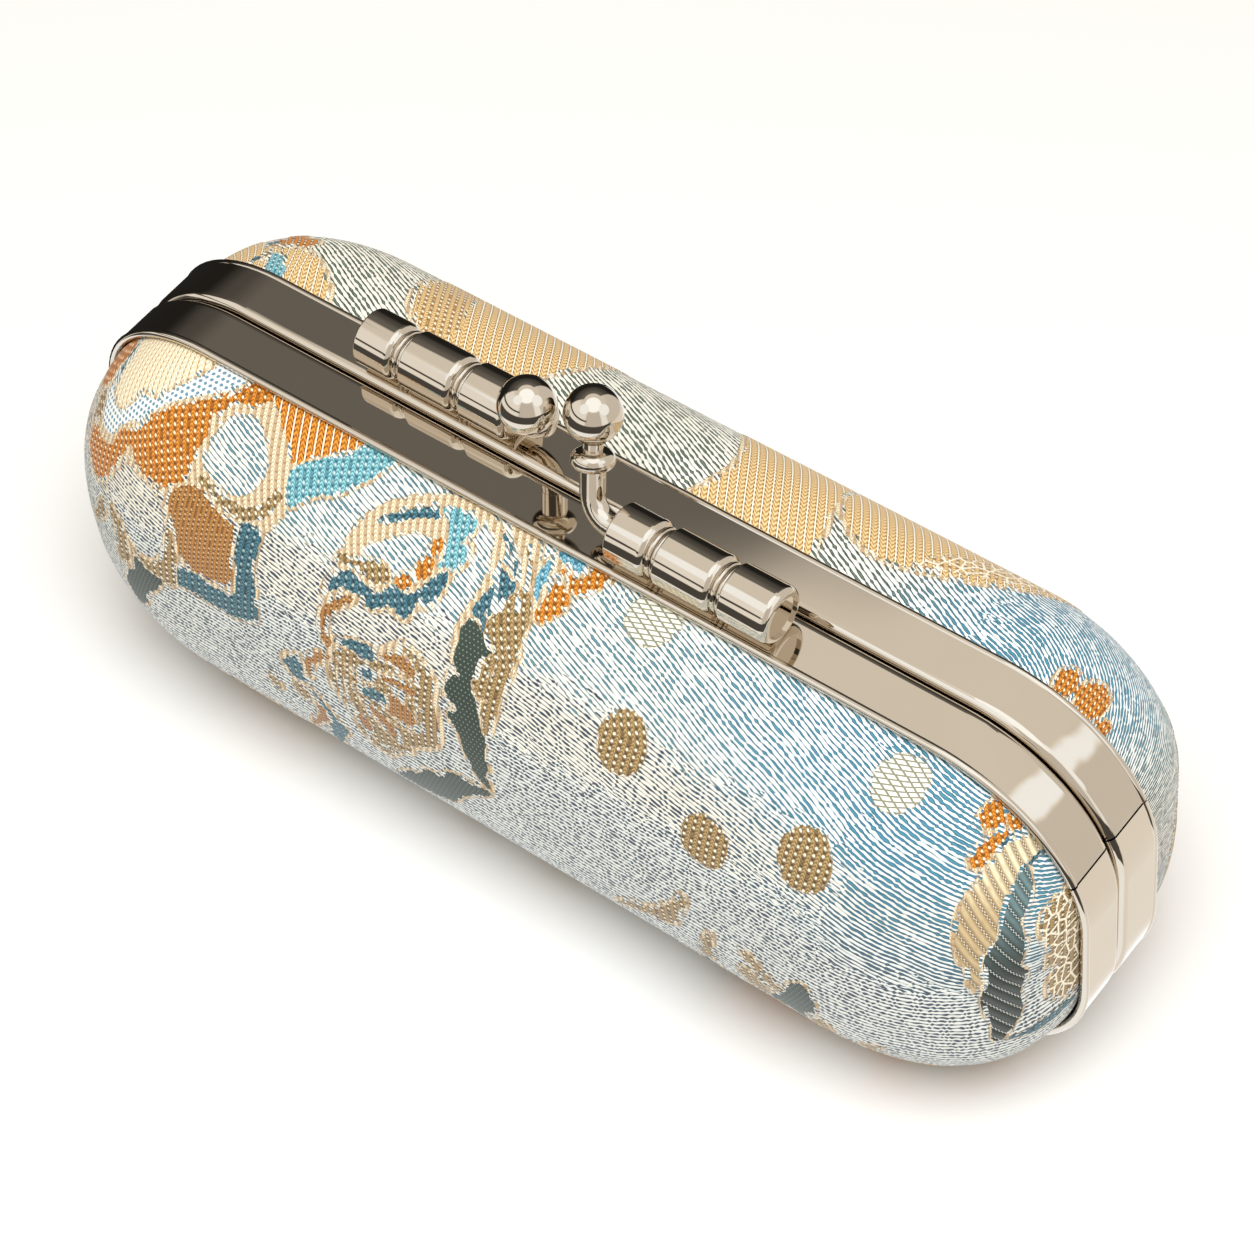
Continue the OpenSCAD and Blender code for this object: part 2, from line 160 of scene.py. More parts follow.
class Graph:
    """A node graph of a material, the room or a modifier."""

    def __init__(self, tree):
        self.tree = tree

    def new(self, kind, inputs=None, **settings):
        node = self.tree.nodes.new(kind)
        for name, value in settings.items():
            setattr(node, name, value)
        self.feed(node, inputs or {})
        return node

    def feed(self, node, inputs):
        """Links formulas and sockets to a node's inputs, and sets plain values there."""
        for name, given in inputs.items():
            given = given.socket if isinstance(given, Value) else given
            if isinstance(given, bpy.types.NodeSocket):
                self.tree.links.new(given, node.inputs[name])
            else:
                node.inputs[name].default_value = given

    def surface(self, inputs):
        """Feeds the material's own shader."""
        self.feed(self.tree.nodes["Principled BSDF"], inputs)

    def value(self, node, output):
        return Value(self.tree, node.outputs[output])

    def split(self, place):
        """The three numbers of a place."""
        node = self.new("ShaderNodeSeparateXYZ", {0: place})
        return [Value(self.tree, socket) for socket in node.outputs]

    def attribute(self, name):
        return self.value(self.new("ShaderNodeAttribute", attribute_name=name), "Fac")

    def flat_place(self):
        """Place on the flat cloth, in millimetres."""
        u, v, _ = self.split(self.new("ShaderNodeUVMap", uv_map=CLOTH_MAP).outputs[0])
        return u * FLAT_SIZE - FLAT_SIZE / 2, v * FLAT_SIZE - FLAT_SIZE / 2

    def scatter(self, *places):
        """A random number from 0 to 1 for each whole place."""
        number = places[0]
        for step, value in enumerate(places[1:], 1):
            number = number + value * (57.31 * step)
        noise = self.new("ShaderNodeTexWhiteNoise", {"W": number}, noise_dimensions="1D")
        return self.value(noise, "Value")

    def noise(self, inputs, detail, dimensions):
        inputs = {"Scale": 1.0, "Detail": detail} | inputs
        return self.value(self.new("ShaderNodeTexNoise", inputs, noise_dimensions=dimensions), "Fac")

    def cloud(self, scale, detail=2.0, stretch=(1, 1, 1)):
        """Soft noise in the object's own space, scale in bumps a metre."""
        place = self.new("ShaderNodeTexCoord").outputs["Object"]
        mapping = self.new("ShaderNodeMapping", {"Vector": place, "Scale": stretch})
        return self.noise({"Vector": mapping.outputs[0], "Scale": scale}, detail, "3D")

    def on_cloth(self, across, along, turn=0.0):
        """Place on the flat cloth for a texture, turned and with that many units a millimetre."""
        mapping = self.new("ShaderNodeMapping", {
            "Vector": self.new("ShaderNodeUVMap", uv_map=CLOTH_MAP).outputs[0],
            "Rotation": (0, 0, math.radians(turn)),
            "Scale": (1 / (across * FLAT_SIZE), 1 / (along * FLAT_SIZE), 1),
        }, vector_type="TEXTURE")
        return mapping.outputs[0]

    def wisp(self, across, along, detail=0.0, turn=0.0):
        """Soft noise on the flat cloth, with that many bumps a millimetre."""
        return self.noise({"Vector": self.on_cloth(across, along, turn)}, detail, "2D")

    def line_noise(self, along):
        """Soft noise along a line, about a unit to a bump."""
        return self.noise({"W": along}, 0.0, "1D")

    def mix(self, amount, first, second):
        """A colour between first and second, given as on screen, as the shader needs it or as a socket."""
        node = self.new("ShaderNodeMix", {"Factor": amount}, data_type="RGBA")
        for name, colour in (("A", first), ("B", second)):
            slot = [k for k, i in enumerate(node.inputs) if i.name == name and i.type == "RGBA"][0]
            if isinstance(colour, tuple) and len(colour) == 3:
                colour = linear(*colour)
            self.feed(node, {slot: colour})
        return [o for o in node.outputs if o.type == "RGBA"][0]

    def bump(self, height, distance, strength=1.0):
        """Height from 0 to 1, in a relief distance metres deep."""
        inputs = {"Height": height, "Distance": distance, "Strength": strength}
        self.surface({"Normal": self.new("ShaderNodeBump", inputs).outputs["Normal"]})


def new_material(name):
    """A material and its graph."""
    material = bpy.data.materials.new(name)
    material.use_nodes = True
    return material, Graph(material.node_tree)


def values_of(owner, name, each=1, kind=np.float32):
    """One property of all the points, corners or faces of a mesh."""
    values = np.empty(len(owner) * each, kind)
    owner.foreach_get(name, values)
    return values


# The dome surface and its flat pattern
def dome_profile(side, inset_n, depth_cut):
    """Distance to the middle line, depth, and length along the cloth to the crown."""
    angle = np.linspace(0, math.pi / 2, 1201)
    reach = HALF_H - inset_n
    across = reach * np.clip(np.cos(angle), 0, 1) ** (2 / DOME_POWER)
    deep = STRIP_W + (DOME_DEPTH[side] - depth_cut) * np.sin(angle) ** (2 / DOME_POWER)
    run = np.concatenate([[0], np.cumsum(np.hypot(np.diff(across), np.diff(deep)))])
    return across, deep, run[-1] - run


# Points round one ring: straights along the case, arcs and the short ends
ALONG, ROUND, ENDS = 212, 56, 26
RING_SIZE = 2 * (ALONG + ENDS) + 4 * ROUND


def ring_points(across, inset_n, bulge=0.0):
    """One closed ring at that distance from the middle line: place and outward direction."""
    inset = HALF_H - inset_n - across
    corner = max(min(CORNER_R - inset_n - CORNER_TAPER * inset, across), 0.0)
    run_x = HALF_L - inset_n - inset - corner
    run_y = across - corner
    parts = []
    for start, cx, cy in ((0, 1, 1), (90, -1, 1), (180, -1, -1), (270, 1, -1)):
        turn = np.radians(start + 90 * (np.arange(ROUND) + 0.5) / ROUND)
        outward = np.column_stack([np.cos(turn), np.sin(turn)])
        parts.append((np.array([cx * run_x, cy * run_y]) + corner * outward, outward))
        steps = ALONG if start in (0, 180) else ENDS
        share = 1 - 2 * (np.arange(steps) + 0.5) / steps
        if start in (0, 180):
            line = np.column_stack([cx * run_x * share, np.full(steps, cy * across)])
            normal = np.tile([0.0, float(cy)], (steps, 1))
        else:
            line = np.column_stack([np.full(steps, cx * (run_x + corner)), cy * run_y * share])
            normal = np.tile([float(cx), 0.0], (steps, 1))
        parts.append((line, normal))
    place = np.concatenate([p for p, _ in parts])
    outward = np.concatenate([n for _, n in parts])
    return place + bulge * outward, outward


class Dome:
    """Grid of points over one dome, with the place of each on the flat cloth."""

    def __init__(self, side, inset_n, depth_cut, rings, tuck=5, swell=0.0):
        across, deep, left = dome_profile(side, inset_n, depth_cut)
        total = left[0]
        places, flats = [], []
        for k in range(tuck):
            depth = TUCK_D + (STRIP_W - TUCK_D) * k / tuck
            bulge = swell * k / tuck
            place, outward = ring_points(across[0], inset_n, bulge)
            extra = total - across[0] + STRIP_W - depth
            places.append(np.column_stack([place, np.full(len(place), depth)]))
            flats.append(ring_points(across[0], inset_n)[0] + extra * outward)
        for k in range(rings + 1):
            length = total * (1 - k / rings)
            b = np.interp(length, left[::-1], across[::-1])
            d = np.interp(length, left[::-1], deep[::-1])
            bulge = swell * math.exp(-(total - length) / SWELL_RUN)
            place, outward = ring_points(b, inset_n, bulge if k < rings else 0.0)
            places.append(np.column_stack([place, np.full(len(place), d)]))
            flats.append(ring_points(b, inset_n)[0] + (length - b) * outward)
        self.places = np.array(places)
        self.flats = np.array(flats) + np.array([PATTERN_SHIFT, 0.0])
        self.rows = len(places)

    def faces(self):
        """Faces as point numbers. The last ring lies flat on the middle line and is welded to itself."""
        number = np.arange(self.rows * RING_SIZE).reshape(self.rows, RING_SIZE)
        last = np.round(self.places[-1], 5)
        _, first, group = np.unique(last, axis=0, return_index=True, return_inverse=True)
        number[-1] = number[-1][first[group.ravel()]]
        turned = np.roll(number, -1, axis=1)
        quads = np.stack([number[:-1], number[1:], turned[1:], turned[:-1]], axis=-1).reshape(-1, 4)
        return [tuple(dict.fromkeys(q)) for q in quads.tolist() if len(set(q)) > 2]


def add(name, data):
    """Puts a new object into the scene."""
    made = bpy.data.objects.new(name, data)
    bpy.context.scene.collection.objects.link(made)
    return made


def mesh_object(name, points, faces):
    mesh = bpy.data.meshes.new(name)
    mesh.from_pydata(points, [], faces)
    mesh.polygons.foreach_set("use_smooth", np.ones(len(faces), bool))
    return add(name, mesh)


def half_object(name, side, points, faces):
    """The object of a mesh that is given in a half's own axes, in millimetres."""
    axes = np.array(HALF_AXES[side])
    return mesh_object(name, ((points @ axes[:3, :3].T + axes[:3, 3]) * MM).tolist(), faces)


def half_mesh(name, side, dome, lift, flip=False):
    """Makes the object of one dome. lift moves each point along its normal, in millimetres."""
    faces = dome.faces()
    if (side == "front") != flip:
        faces = [tuple(reversed(f)) for f in faces]
    used = sorted({p for f in faces for p in f})
    renumber = {old: new for new, old in enumerate(used)}
    faces = [tuple(renumber[p] for p in f) for f in faces]
    points = dome.places.reshape(-1, 3)[used] + dome_normals(dome)[used] * lift[used][:, None]
    made = half_object(name, side, points, faces)
    cloth = made.data.uv_layers.new(name=CLOTH_MAP)
    corners = values_of(made.data.loops, "vertex_index", 1, np.int32)
    flat = dome.flats.reshape(-1, 2)[used]
    cloth.data.foreach_set("uv", ((flat[corners] / FLAT_SIZE) + 0.5).ravel().astype(np.float32))
    made.data.validate()
    return made, used


def dome_normals(dome):
    """Outward normals of the dome's points, in the half's own axes."""
    around = np.roll(dome.places, -1, 1) - np.roll(dome.places, 1, 1)
    inward = np.gradient(dome.places, axis=0)
    normals = np.cross(around, inward)
    size = np.linalg.norm(normals, axis=-1, keepdims=True)
    normals = normals / np.maximum(size, 1e-9)
    normals[-1] = (0, 0, 1)
    return normals.reshape(-1, 3)


# The brocade's motifs, drawn on the flat cloth in millimetres
KINDS = ("orange", "copper", "tan", "cream", "teal", "slate", "green", "sky", "stripe", "gold",
         "dotted", "cord", "leaf", "mesh", "knotted", "pale")
FAR = -2.5
CURVE_STEPS = 6


def smooth_loop(points, closed=True):
    """Points along a curve through the given ones."""
    given = np.array(points, float)
    if closed:
        ring = np.concatenate([given[-1:], given, given[:2]])
    else:
        ring = np.concatenate([given[:1], given, given[-1:]])
    t = (np.arange(CURVE_STEPS) / CURVE_STEPS)[None, :, None]
    a, b, c, d = (ring[k:len(ring) - 3 + k][:, None, :] for k in range(4))
    bend = (2 * a - 5 * b + 4 * c - d) * t**2 + (3 * b - a - 3 * c + d) * t**3
    curve = 0.5 * (2 * b + (c - a) * t + bend).reshape(-1, 2)
    return curve if closed else np.concatenate([curve, given[-1:]])


def oval(u, v, width, height, turn=0.0, count=10):
    """Outline points of an oval."""
    angle = np.arange(count) * 2 * math.pi / count
    x, y = width / 2 * np.cos(angle), height / 2 * np.sin(angle)
    c, s = math.cos(math.radians(turn)), math.sin(math.radians(turn))
    return [(u + c * i - s * j, v + s * i + c * j) for i, j in zip(x, y)]


class Pattern:
    """How far each point of a cloth lies inside each kind of weave, in millimetres."""

    def __init__(self, flats):
        self.flats = flats
        self.inside = {kind: np.full(len(flats), FAR) for kind in KINDS}

    def lay(self, kind, near, inside):
        for other in KINDS:
            if other != kind:
                self.inside[other][near] = np.minimum(self.inside[other][near], -inside)
        if kind in self.inside:
            self.inside[kind][near] = np.maximum(self.inside[kind][near], inside)

    def distances(self, curve, closed):
        """Points near the curve, their distance from it, and whether they lie within it."""
        low, high = curve.min(0) + FAR, curve.max(0) - FAR
        near = np.flatnonzero(np.all((self.flats > low) & (self.flats < high), axis=1))
        start = curve
        end = np.roll(curve, -1, 0) if closed else np.concatenate([curve[1:], curve[-1:]])
        step = end - start
        size = np.maximum((step**2).sum(1), 1e-12)
        place = self.flats[near]
        best = np.full(len(near), 1e9)
        within = np.zeros(len(near), bool)
        for (a, ab, length, b) in zip(start, step, size, end):
            away = place - a
            along = np.clip((away @ ab) / length, 0, 1)
            best = np.minimum(best, ((away - along[:, None] * ab) ** 2).sum(1))
            if closed and a[1] != b[1]:
                crosses = (a[1] > place[:, 1]) != (b[1] > place[:, 1])
                within ^= crosses & (place[:, 0] < a[0] + (place[:, 1] - a[1]) * ab[0] / ab[1])
        return near, np.sqrt(best), within

    def patch(self, kind, points, border, place):
        """A closed patch of one weave with a cream border round it."""
        near, distance, within = self.distances(place(smooth_loop(points)), True)
        inside = np.where(within, distance, -distance)
        if border:
            self.lay("cream", near, np.maximum(inside + border, FAR))
        self.lay(kind, near, np.maximum(inside, FAR))

    def stroke(self, kind, points, width, place):
        """A line of one weave."""
        near, distance, _ = self.distances(place(smooth_loop(points, closed=False)), False)
        self.lay(kind, near, np.maximum(width / 2 - distance, FAR))


def moved(pivot, to, turn=0.0, scale=1.0):
    """Puts a motif that was drawn round pivot at another place."""
    c, s = math.cos(math.radians(turn)) * scale, math.sin(math.radians(turn)) * scale
    return lambda curve: (curve - np.array(pivot)) @ np.array([[c, s], [-s, c]]) + np.array(to)


def draw(pattern, motif, place=lambda curve: curve):
    """Draws a motif: each entry is a kind, its outline or line, and its border or width."""
    for entry in motif:
        if entry[0] == "line":
            pattern.stroke(*entry[1:], place)
        else:
            pattern.patch(*entry, place)


CLOUD_FLOWER = [
    ("orange", [(-79, 33), (-76, 31), (-76.5, 28), (-75, 26), (-76.5, 23.5), (-80, 24), (-87, 25),
        (-90, 29), (-84, 32)], 0.9),
    ("tan", [(-75.2, 24.5), (-73, 25), (-72, 21), (-72.8, 18), (-75, 19.5)], 0.8),
    ("dotted", [(-79, 33.5), (-75.5, 31.5), (-74.5, 28), (-73, 25), (-71, 22), (-68, 21.5), (-66, 23.5),
        (-64, 26), (-61, 27), (-59.5, 30), (-57, 31.5), (-55, 33.5), (-52.5, 36), (-50.5, 39), (-54, 41),
        (-62, 42), (-76, 42), (-84, 38)], 0.9),
    ("gold", [(-76.5, 34), (-74, 31), (-72.8, 28), (-70.5, 26.3), (-67.5, 26.3), (-66, 28.5), (-65, 30.5),
        (-62, 31), (-60, 33.5), (-58.5, 35.5), (-57, 39), (-60, 42), (-74, 42), (-80, 38)], 0.8),
    ("slate", [(-78.5, 33), (-76, 32.2), (-74.3, 30), (-73.6, 27), (-74.6, 27.5), (-75.6, 30.2)], 0.0),
    ("orange", [(-46, 39.5), (-46, 36.5), (-47.5, 34.2), (-50, 33), (-52, 32.5), (-50.6, 29), (-50.4, 25.5),
        (-51.8, 22), (-54, 20.6), (-57, 20.3), (-60, 21.2), (-62.3, 23.2), (-63.6, 20.5), (-64.6, 17.4),
        (-66.5, 14.8), (-69.5, 13.2), (-72.3, 14.6), (-73.6, 17.8), (-72.5, 20), (-69.5, 19.4),
        (-66.6, 20.4), (-65.2, 23.6), (-62.2, 25.4), (-60.6, 28), (-58, 30.6), (-55, 33), (-53, 34.8),
        (-50.8, 37), (-49.8, 39.8)], 0.9),
    ("tan", [(-57, 19.3), (-54, 19.6), (-51.6, 16.8), (-50.5, 12.5), (-50.2, 8.5), (-51.4, 5.6),
        (-54.5, 5.2), (-57.5, 6.2), (-60.2, 9.2), (-62, 12)], 0.6),
    ("ground", [(-62.2, 20), (-64.6, 16.5), (-65.4, 13), (-62.5, 10.6), (-59.5, 9), (-56.5, 7.8),
        (-54, 9.6), (-52.8, 13.8), (-53.6, 17.4), (-56, 19.2), (-59, 19.6)], 0.7),
    ("cream", [(-50, 34.4), (-47, 35.6), (-45, 38.8), (-42, 39.5), (-39.5, 35), (-37, 32.2), (-35.4, 28.2),
        (-35.3, 25), (-37.2, 22.2), (-40.6, 21.3), (-45, 21.8), (-49, 23.2), (-50.4, 25.4)], 0.6),
    ("line", "tan", [(-48.5, 23.8), (-45, 23), (-41, 22.8), (-38, 24.3), (-36.8, 27)], 1.5),
    ("ground", [(-49.6, 33.2), (-50, 28.5), (-49, 25.6), (-46, 24.4), (-42.2, 24.4), (-40, 27),
        (-40.4, 30.2), (-43, 33.2), (-45.6, 34.9), (-48, 34.2)], 0.5),
    ("copper", [(-53, 19.6), (-50.6, 22.3), (-48, 22.8), (-44, 21.2), (-40.6, 20.8), (-41.2, 17.5),
        (-40.4, 14), (-40.9, 11.6), (-44, 10.8), (-48, 11), (-50, 13), (-51.6, 16.5)], 0.8),
    ("slate", [(-40.6, 21.2), (-37.1, 21.8), (-37.1, 18), (-36.2, 13), (-35.8, 8.6), (-38, 7), (-43, 6.4),
        (-48, 6.8), (-50, 6.5), (-49.8, 10), (-46, 10.1), (-43, 9.7), (-39.9, 10.4), (-39.5, 13),
        (-40.1, 17)], 0.5),
    ("stripe", [(-45.5, 39.8), (-43, 36.6), (-40, 34.4), (-37.6, 32.3), (-35.4, 33), (-33.4, 35),
        (-30.4, 36.9), (-28, 39.5)], 0.7),
    ("teal", [(-36.7, 31.2), (-35.6, 27.8), (-34.4, 26.8), (-32, 29.5), (-29, 31.4), (-27.4, 33.6),
        (-26, 36), (-25, 39.5), (-29.5, 39.5), (-31, 36.8), (-33.6, 34.6)], 0.6),
    ("green", [(-58.8, 6.2), (-56, 5.3), (-53.5, 5), (-55, 2.5), (-57.4, -0.5), (-59, -4), (-61.5, -5.6),
        (-62.5, -2), (-61.4, 1.5), (-59.5, 3)], 0.5),
    ("tan", [(-66.6, 13.4), (-64, 11.2), (-61.6, 10), (-60.2, 7), (-60.5, 4.4), (-62.4, 3), (-62.8, 6),
        (-63.2, 8.8), (-65.2, 11.2)], 0.6),
    ("tan", [(-66.8, 10.6), (-66.4, 8.4), (-68.4, 6), (-70.2, 5), (-69.2, 7.6), (-67.6, 10)], 0.5),
]

SWIRL = [
    ("line", "cream", [(-24, 27), (-22.5, 31.5), (-19, 35.5), (-14, 38.3), (-9, 38.4), (-5.5, 36.3),
        (-3.8, 33)], 1.6),
    ("cream", [(-24.2, 25.3), (-23.6, 28.3), (-21.6, 30.6), (-19, 32.9), (-16, 35), (-13.2, 35),
        (-11.9, 33.4), (-13.6, 32.6), (-16.2, 32), (-19, 30), (-21.4, 27.8), (-22.2, 25.3)], 0.3),
    ("slate", [(-14.5, 36.4), (-17, 35.3), (-19.4, 33.2), (-21.6, 31.2), (-21.2, 30.7), (-18.6, 32.4),
        (-16.4, 34.2), (-14, 35.1)], 0.2),
    ("teal", [(-10.2, 28.4), (-8.6, 29.6), (-7.6, 32), (-8.2, 33.6), (-9.7, 33.2), (-9.3, 35.8),
        (-9.9, 37.3), (-12.6, 37.3), (-14.7, 36.4), (-12.8, 35), (-11.4, 33), (-10.6, 30.5)], 0.7),
    ("slate", [(-25, 18.5), (-23.8, 19.8), (-22, 20.9), (-19.5, 20.9), (-17.2, 20.2), (-14.6, 21.8),
        (-12.4, 21.1), (-11.3, 22.6), (-11, 24.4), (-9.5, 24.2), (-8.5, 27), (-9.1, 29.2), (-10, 28.4),
        (-11.3, 25.8), (-13.2, 24.1), (-15.4, 24.3), (-17, 22.4), (-19.4, 22.6), (-21.6, 23.1),
        (-23.6, 22.5), (-24.6, 21)], 0.7),
    ("tan", [(-24.6, 24.4), (-21.5, 25.2), (-18.6, 26.2), (-16.4, 25), (-17, 23.7), (-19.4, 23.6),
        (-22, 24), (-24.6, 23.6)], 0.4),
    ("orange", oval(-12.3, 31.4, 1.6, 2.6, -10), 0.4),
    ("orange", oval(-12.3, 28.3, 2.2, 3.2, -20), 0.4),
    ("orange", oval(-14, 25.6, 2.2, 2.2, 0), 0.4),
    ("copper", [(-20.4, 19.9), (-22.4, 19.4), (-24.4, 17), (-25, 14.6), (-24.4, 12.4), (-22.6, 10.6),
        (-22.2, 11), (-23.5, 13.5), (-23.7, 15.3), (-22.8, 17.3), (-21.2, 19)], 0.6),
]

PEONY = [
    ("tan", [(-22.3, 10.6), (-19.5, 12.4), (-16, 12.2), (-14.2, 15), (-11, 17.6), (-8, 16.8), (-5.5, 15),
        (-5.4, 12), (-4.2, 8.4), (-4.4, 5), (-6, 3), (-9, 1), (-10.4, -1.4), (-12.6, -3), (-14.6, -5.4),
        (-17, -5), (-19, -2.6), (-19.8, 0.6), (-22.3, 4), (-23, 7.4)], 0.9),
    ("line", "cream", [(-21.5, 10), (-18, 9.6), (-15, 11.5), (-11, 13), (-7.8, 13)], 0.7),
    ("line", "cream", [(-20.5, 9), (-17.5, 8.4), (-14, 9.6), (-10.5, 10.3), (-7.3, 9.4)], 0.6),
    ("line", "cream", [(-20, 8), (-18.4, 5.4), (-16.8, 3), (-14, 0.6), (-11.8, -0.6), (-9.6, 0.6)], 0.7),
    ("line", "cream", [(-19, 7.4), (-17, 5.6), (-14.6, 4.2), (-12, 3.6), (-9, 4), (-7, 6)], 0.7),
    ("line", "cream", [(-20.8, 8.4), (-20, 4.6), (-19.4, 1), (-17.6, -2.6), (-15.4, -3.8), (-13.4, -2.6)],
        0.6),
    ("line", "cream", [(-22, 9.6), (-21.7, 6.4), (-20.6, 3.4)], 0.6),
    ("line", "cream", [(-15.2, 13.8), (-12.4, 16.6), (-9, 16)], 0.6),
    ("line", "cream", [(-12.4, 4.6), (-9.4, 4.9), (-7.4, 7), (-8.8, 9)], 0.5),
    ("slate", [(-22, 12.7), (-19.4, 14.2), (-16.2, 14.7), (-15.2, 13.4), (-17.6, 12.5), (-19.6, 12.9)],
        0.4),
    ("copper", [(-14.6, 14), (-12, 16), (-10, 16), (-8.4, 14.6), (-10, 13.9), (-12.6, 14.2)], 0.4),
    ("copper", [(-14, 11.3), (-11.5, 12.1), (-8.8, 12), (-8.6, 11), (-11, 10.8), (-13.5, 10.7)], 0.3),
    ("slate", [(-17.5, 10.6), (-15.5, 11.3), (-15.3, 9.9), (-16.8, 9.2)], 0.3),
    ("slate", [(-17.5, 6.9), (-15.5, 8), (-13, 7.9), (-13.2, 6.8), (-15.4, 6.1), (-17, 6.2)], 0.4),
    ("copper", [(-13, 8.2), (-11, 9), (-9, 7.8), (-8.1, 6.3), (-9, 5.1), (-11, 5), (-13.2, 5.5),
        (-12.2, 6.8)], 0.5),
    ("copper", [(-16.6, 5), (-14.4, 4), (-12, 2.2), (-11.4, 0.7), (-13, 1.1), (-15.2, 2.6), (-16.4, 3.8)],
        0.4),
    ("copper", [(-19, 1), (-17.2, 0.6), (-16.6, -1), (-17.6, -2), (-18.8, -0.5)], 0.3),
]

LOBES = [
    ("copper", [(-22.5, 9.6), (-25, 8.8), (-27.5, 6.6), (-28.4, 4.8), (-27.6, 3.5), (-26.5, 3.5), (-26, 6),
        (-24.4, 8)], 0.6),
    ("slate", [(-29, 6), (-31.2, 3.8), (-31.2, 2.5), (-29.5, 0.9), (-28, 1.3), (-28.3, 3.5), (-28.3, 5)],
        0.9),
    ("slate", [(-27.6, 0.6), (-25.4, -1.4), (-24, -3.8), (-22.2, -6), (-23.4, -8), (-24.5, -11),
        (-26.4, -14), (-26.8, -11), (-26, -8), (-25.2, -5.5), (-26, -2.4)], 0.6),
    ("tan", [(-30, 0), (-28.5, -0.5), (-27.3, -2), (-29, -3.6), (-30.2, -2)], 0.5),
    ("copper", [(-26.5, -3), (-25.5, -4.6), (-26.5, -7.5), (-28.8, -10), (-31, -12.5), (-29, -8.5),
        (-27.2, -6)], 0.6),
    ("tan", [(-34.4, -1.8), (-33.6, -4), (-34.8, -5.4), (-35.4, -3.6)], 0.5),
]

LONG_LEAF = [
    ("line", "cream", [(-10, 38.6), (-6, 37), (-3.8, 34), (-3.5, 29), (-4, 25), (-4, 20)], 0.9),
    ("cream", [(-6, 39.5), (-1, 39), (1.4, 36), (4, 33.4), (4.6, 30.6), (1.6, 30.8), (0.4, 33.4),
        (-2, 36.4)], 0.2),
    ("line", "slate", [(-5.2, 37.2), (-2.6, 35.6), (-0.6, 33.4), (0.5, 31)], 0.6),
    ("line", "tan", [(-1.6, 37.4), (0.4, 35.4), (1.8, 33)], 0.4),
    ("slate", [(-3, 25.4), (-3, 28), (-2.3, 30.6), (-2.5, 33), (-1.4, 32.6), (0.4, 32), (0.4, 29.5),
        (-0.4, 27.4), (-0.2, 25.4)], 0.6),
    ("line", "cream", [(-2, 31.6), (-1, 29), (-1.6, 26.4)], 0.35),
    ("tan", [(-0.2, 27), (0.6, 29.4), (1.6, 32.4), (3.6, 31.6), (4.7, 28), (5.3, 24), (5.2, 19.5),
        (4.8, 15.5), (3.9, 11.3), (3, 13), (2.6, 15.4), (0.9, 16.4), (0.3, 18.5), (0.6, 21), (1.7, 23.4),
        (0, 24.5)], 0.6),
    ("line", "cream", [(1.6, 31.6), (3, 28), (3.2, 24), (2.6, 19.6)], 0.5),
    ("cream", oval(1.9, 16.3, 3, 1.1, 10), 0.0),
    ("green", [(-3, 25.6), (-1.5, 25.1), (-0.2, 24.1), (1.5, 23.2), (0.4, 21), (0.5, 19.4), (-0.2, 18),
        (0.9, 16.4), (2, 15), (2.5, 12.4), (3.8, 10), (3.3, 8.4), (4, 5.5), (3.6, 3.8), (4.2, 1.4),
        (2.5, 2.5), (1.1, 4.5), (0.3, 6.5), (-0.6, 9), (-2.7, 11.4), (-1.2, 12.8), (-3, 13.9), (-3.7, 15.6),
        (-3.2, 17.5), (-2, 18.1), (-3.2, 19.4), (-3.2, 22), (-3.5, 23.6)], 0.6),
    ("green", [(4, 0.3), (1, 0.1), (-2, 0), (-4.4, -1.4), (-5, -2.8), (-8, -3.5), (-9.5, -6), (-12, -7.5),
        (-15, -12), (-9.5, -11.5), (-5, -9.4), (-3, -7), (-1.4, -4.5), (1, -2.4)], 0.5),
]

BUTTERFLY = [
    ("sky", [(2.5, 37.5), (3.2, 36), (3.7, 33.5), (4.1, 31.7), (3.1, 32.6), (2.2, 35)], 0.6),
    ("sky", [(2.8, 39.5), (3.6, 37.9), (5, 38), (6.4, 37.2), (7, 39.5)], 0.5),
    ("orange", [(4.2, 36.8), (6.5, 35.9), (7.2, 34.8), (9, 35.2), (10.1, 37), (10.8, 39.5), (8, 39.5),
        (7.8, 36.9), (6, 36.7)], 0.5),
    ("orange", [(4.7, 34.8), (6.6, 34.7), (8.2, 33), (7.5, 31.4), (6.5, 29.8), (5, 30.1), (5.1, 32.5)],
        0.5),
]

DOTS = [
    ("pale", oval(19.2, 37, 7.4, 7.8), 0.0),
    ("tan", oval(23.6, 21, 7.4, 8.6), 0.0),
    ("tan", oval(38.5, 14.5, 7.4, 7.4), 0.0),
    ("tan", oval(52.4, 19.4, 7.7, 8.6), 0.0),
    ("pale", oval(59.3, 33.8, 8, 8), 0.0),
]

TENDRILS = [
    ("tan", [(36.1, 3), (35.9, 1), (34.5, -3), (33, -6), (29.5, -7.6), (26, -9), (22.5, -11.5), (25, -8),
        (29, -5.5), (32, -2.6), (34.4, 0.6), (35.4, 2.6)], 0.6),
    ("tan", [(40, -2.5), (39.2, -6), (38.6, -10), (37, -13), (36.8, -9.6), (38, -6), (39, -3)], 0.5),
    ("tan", [(44.5, -2), (46, -2), (49, -5.4), (52, -8.4), (55, -11.5), (50, -9), (47, -6), (45, -3.6)],
        0.6),
    ("tan", [(43, -9.4), (44.2, -7), (46, -7.8), (47.2, -11), (45, -13)], 0.6),
]

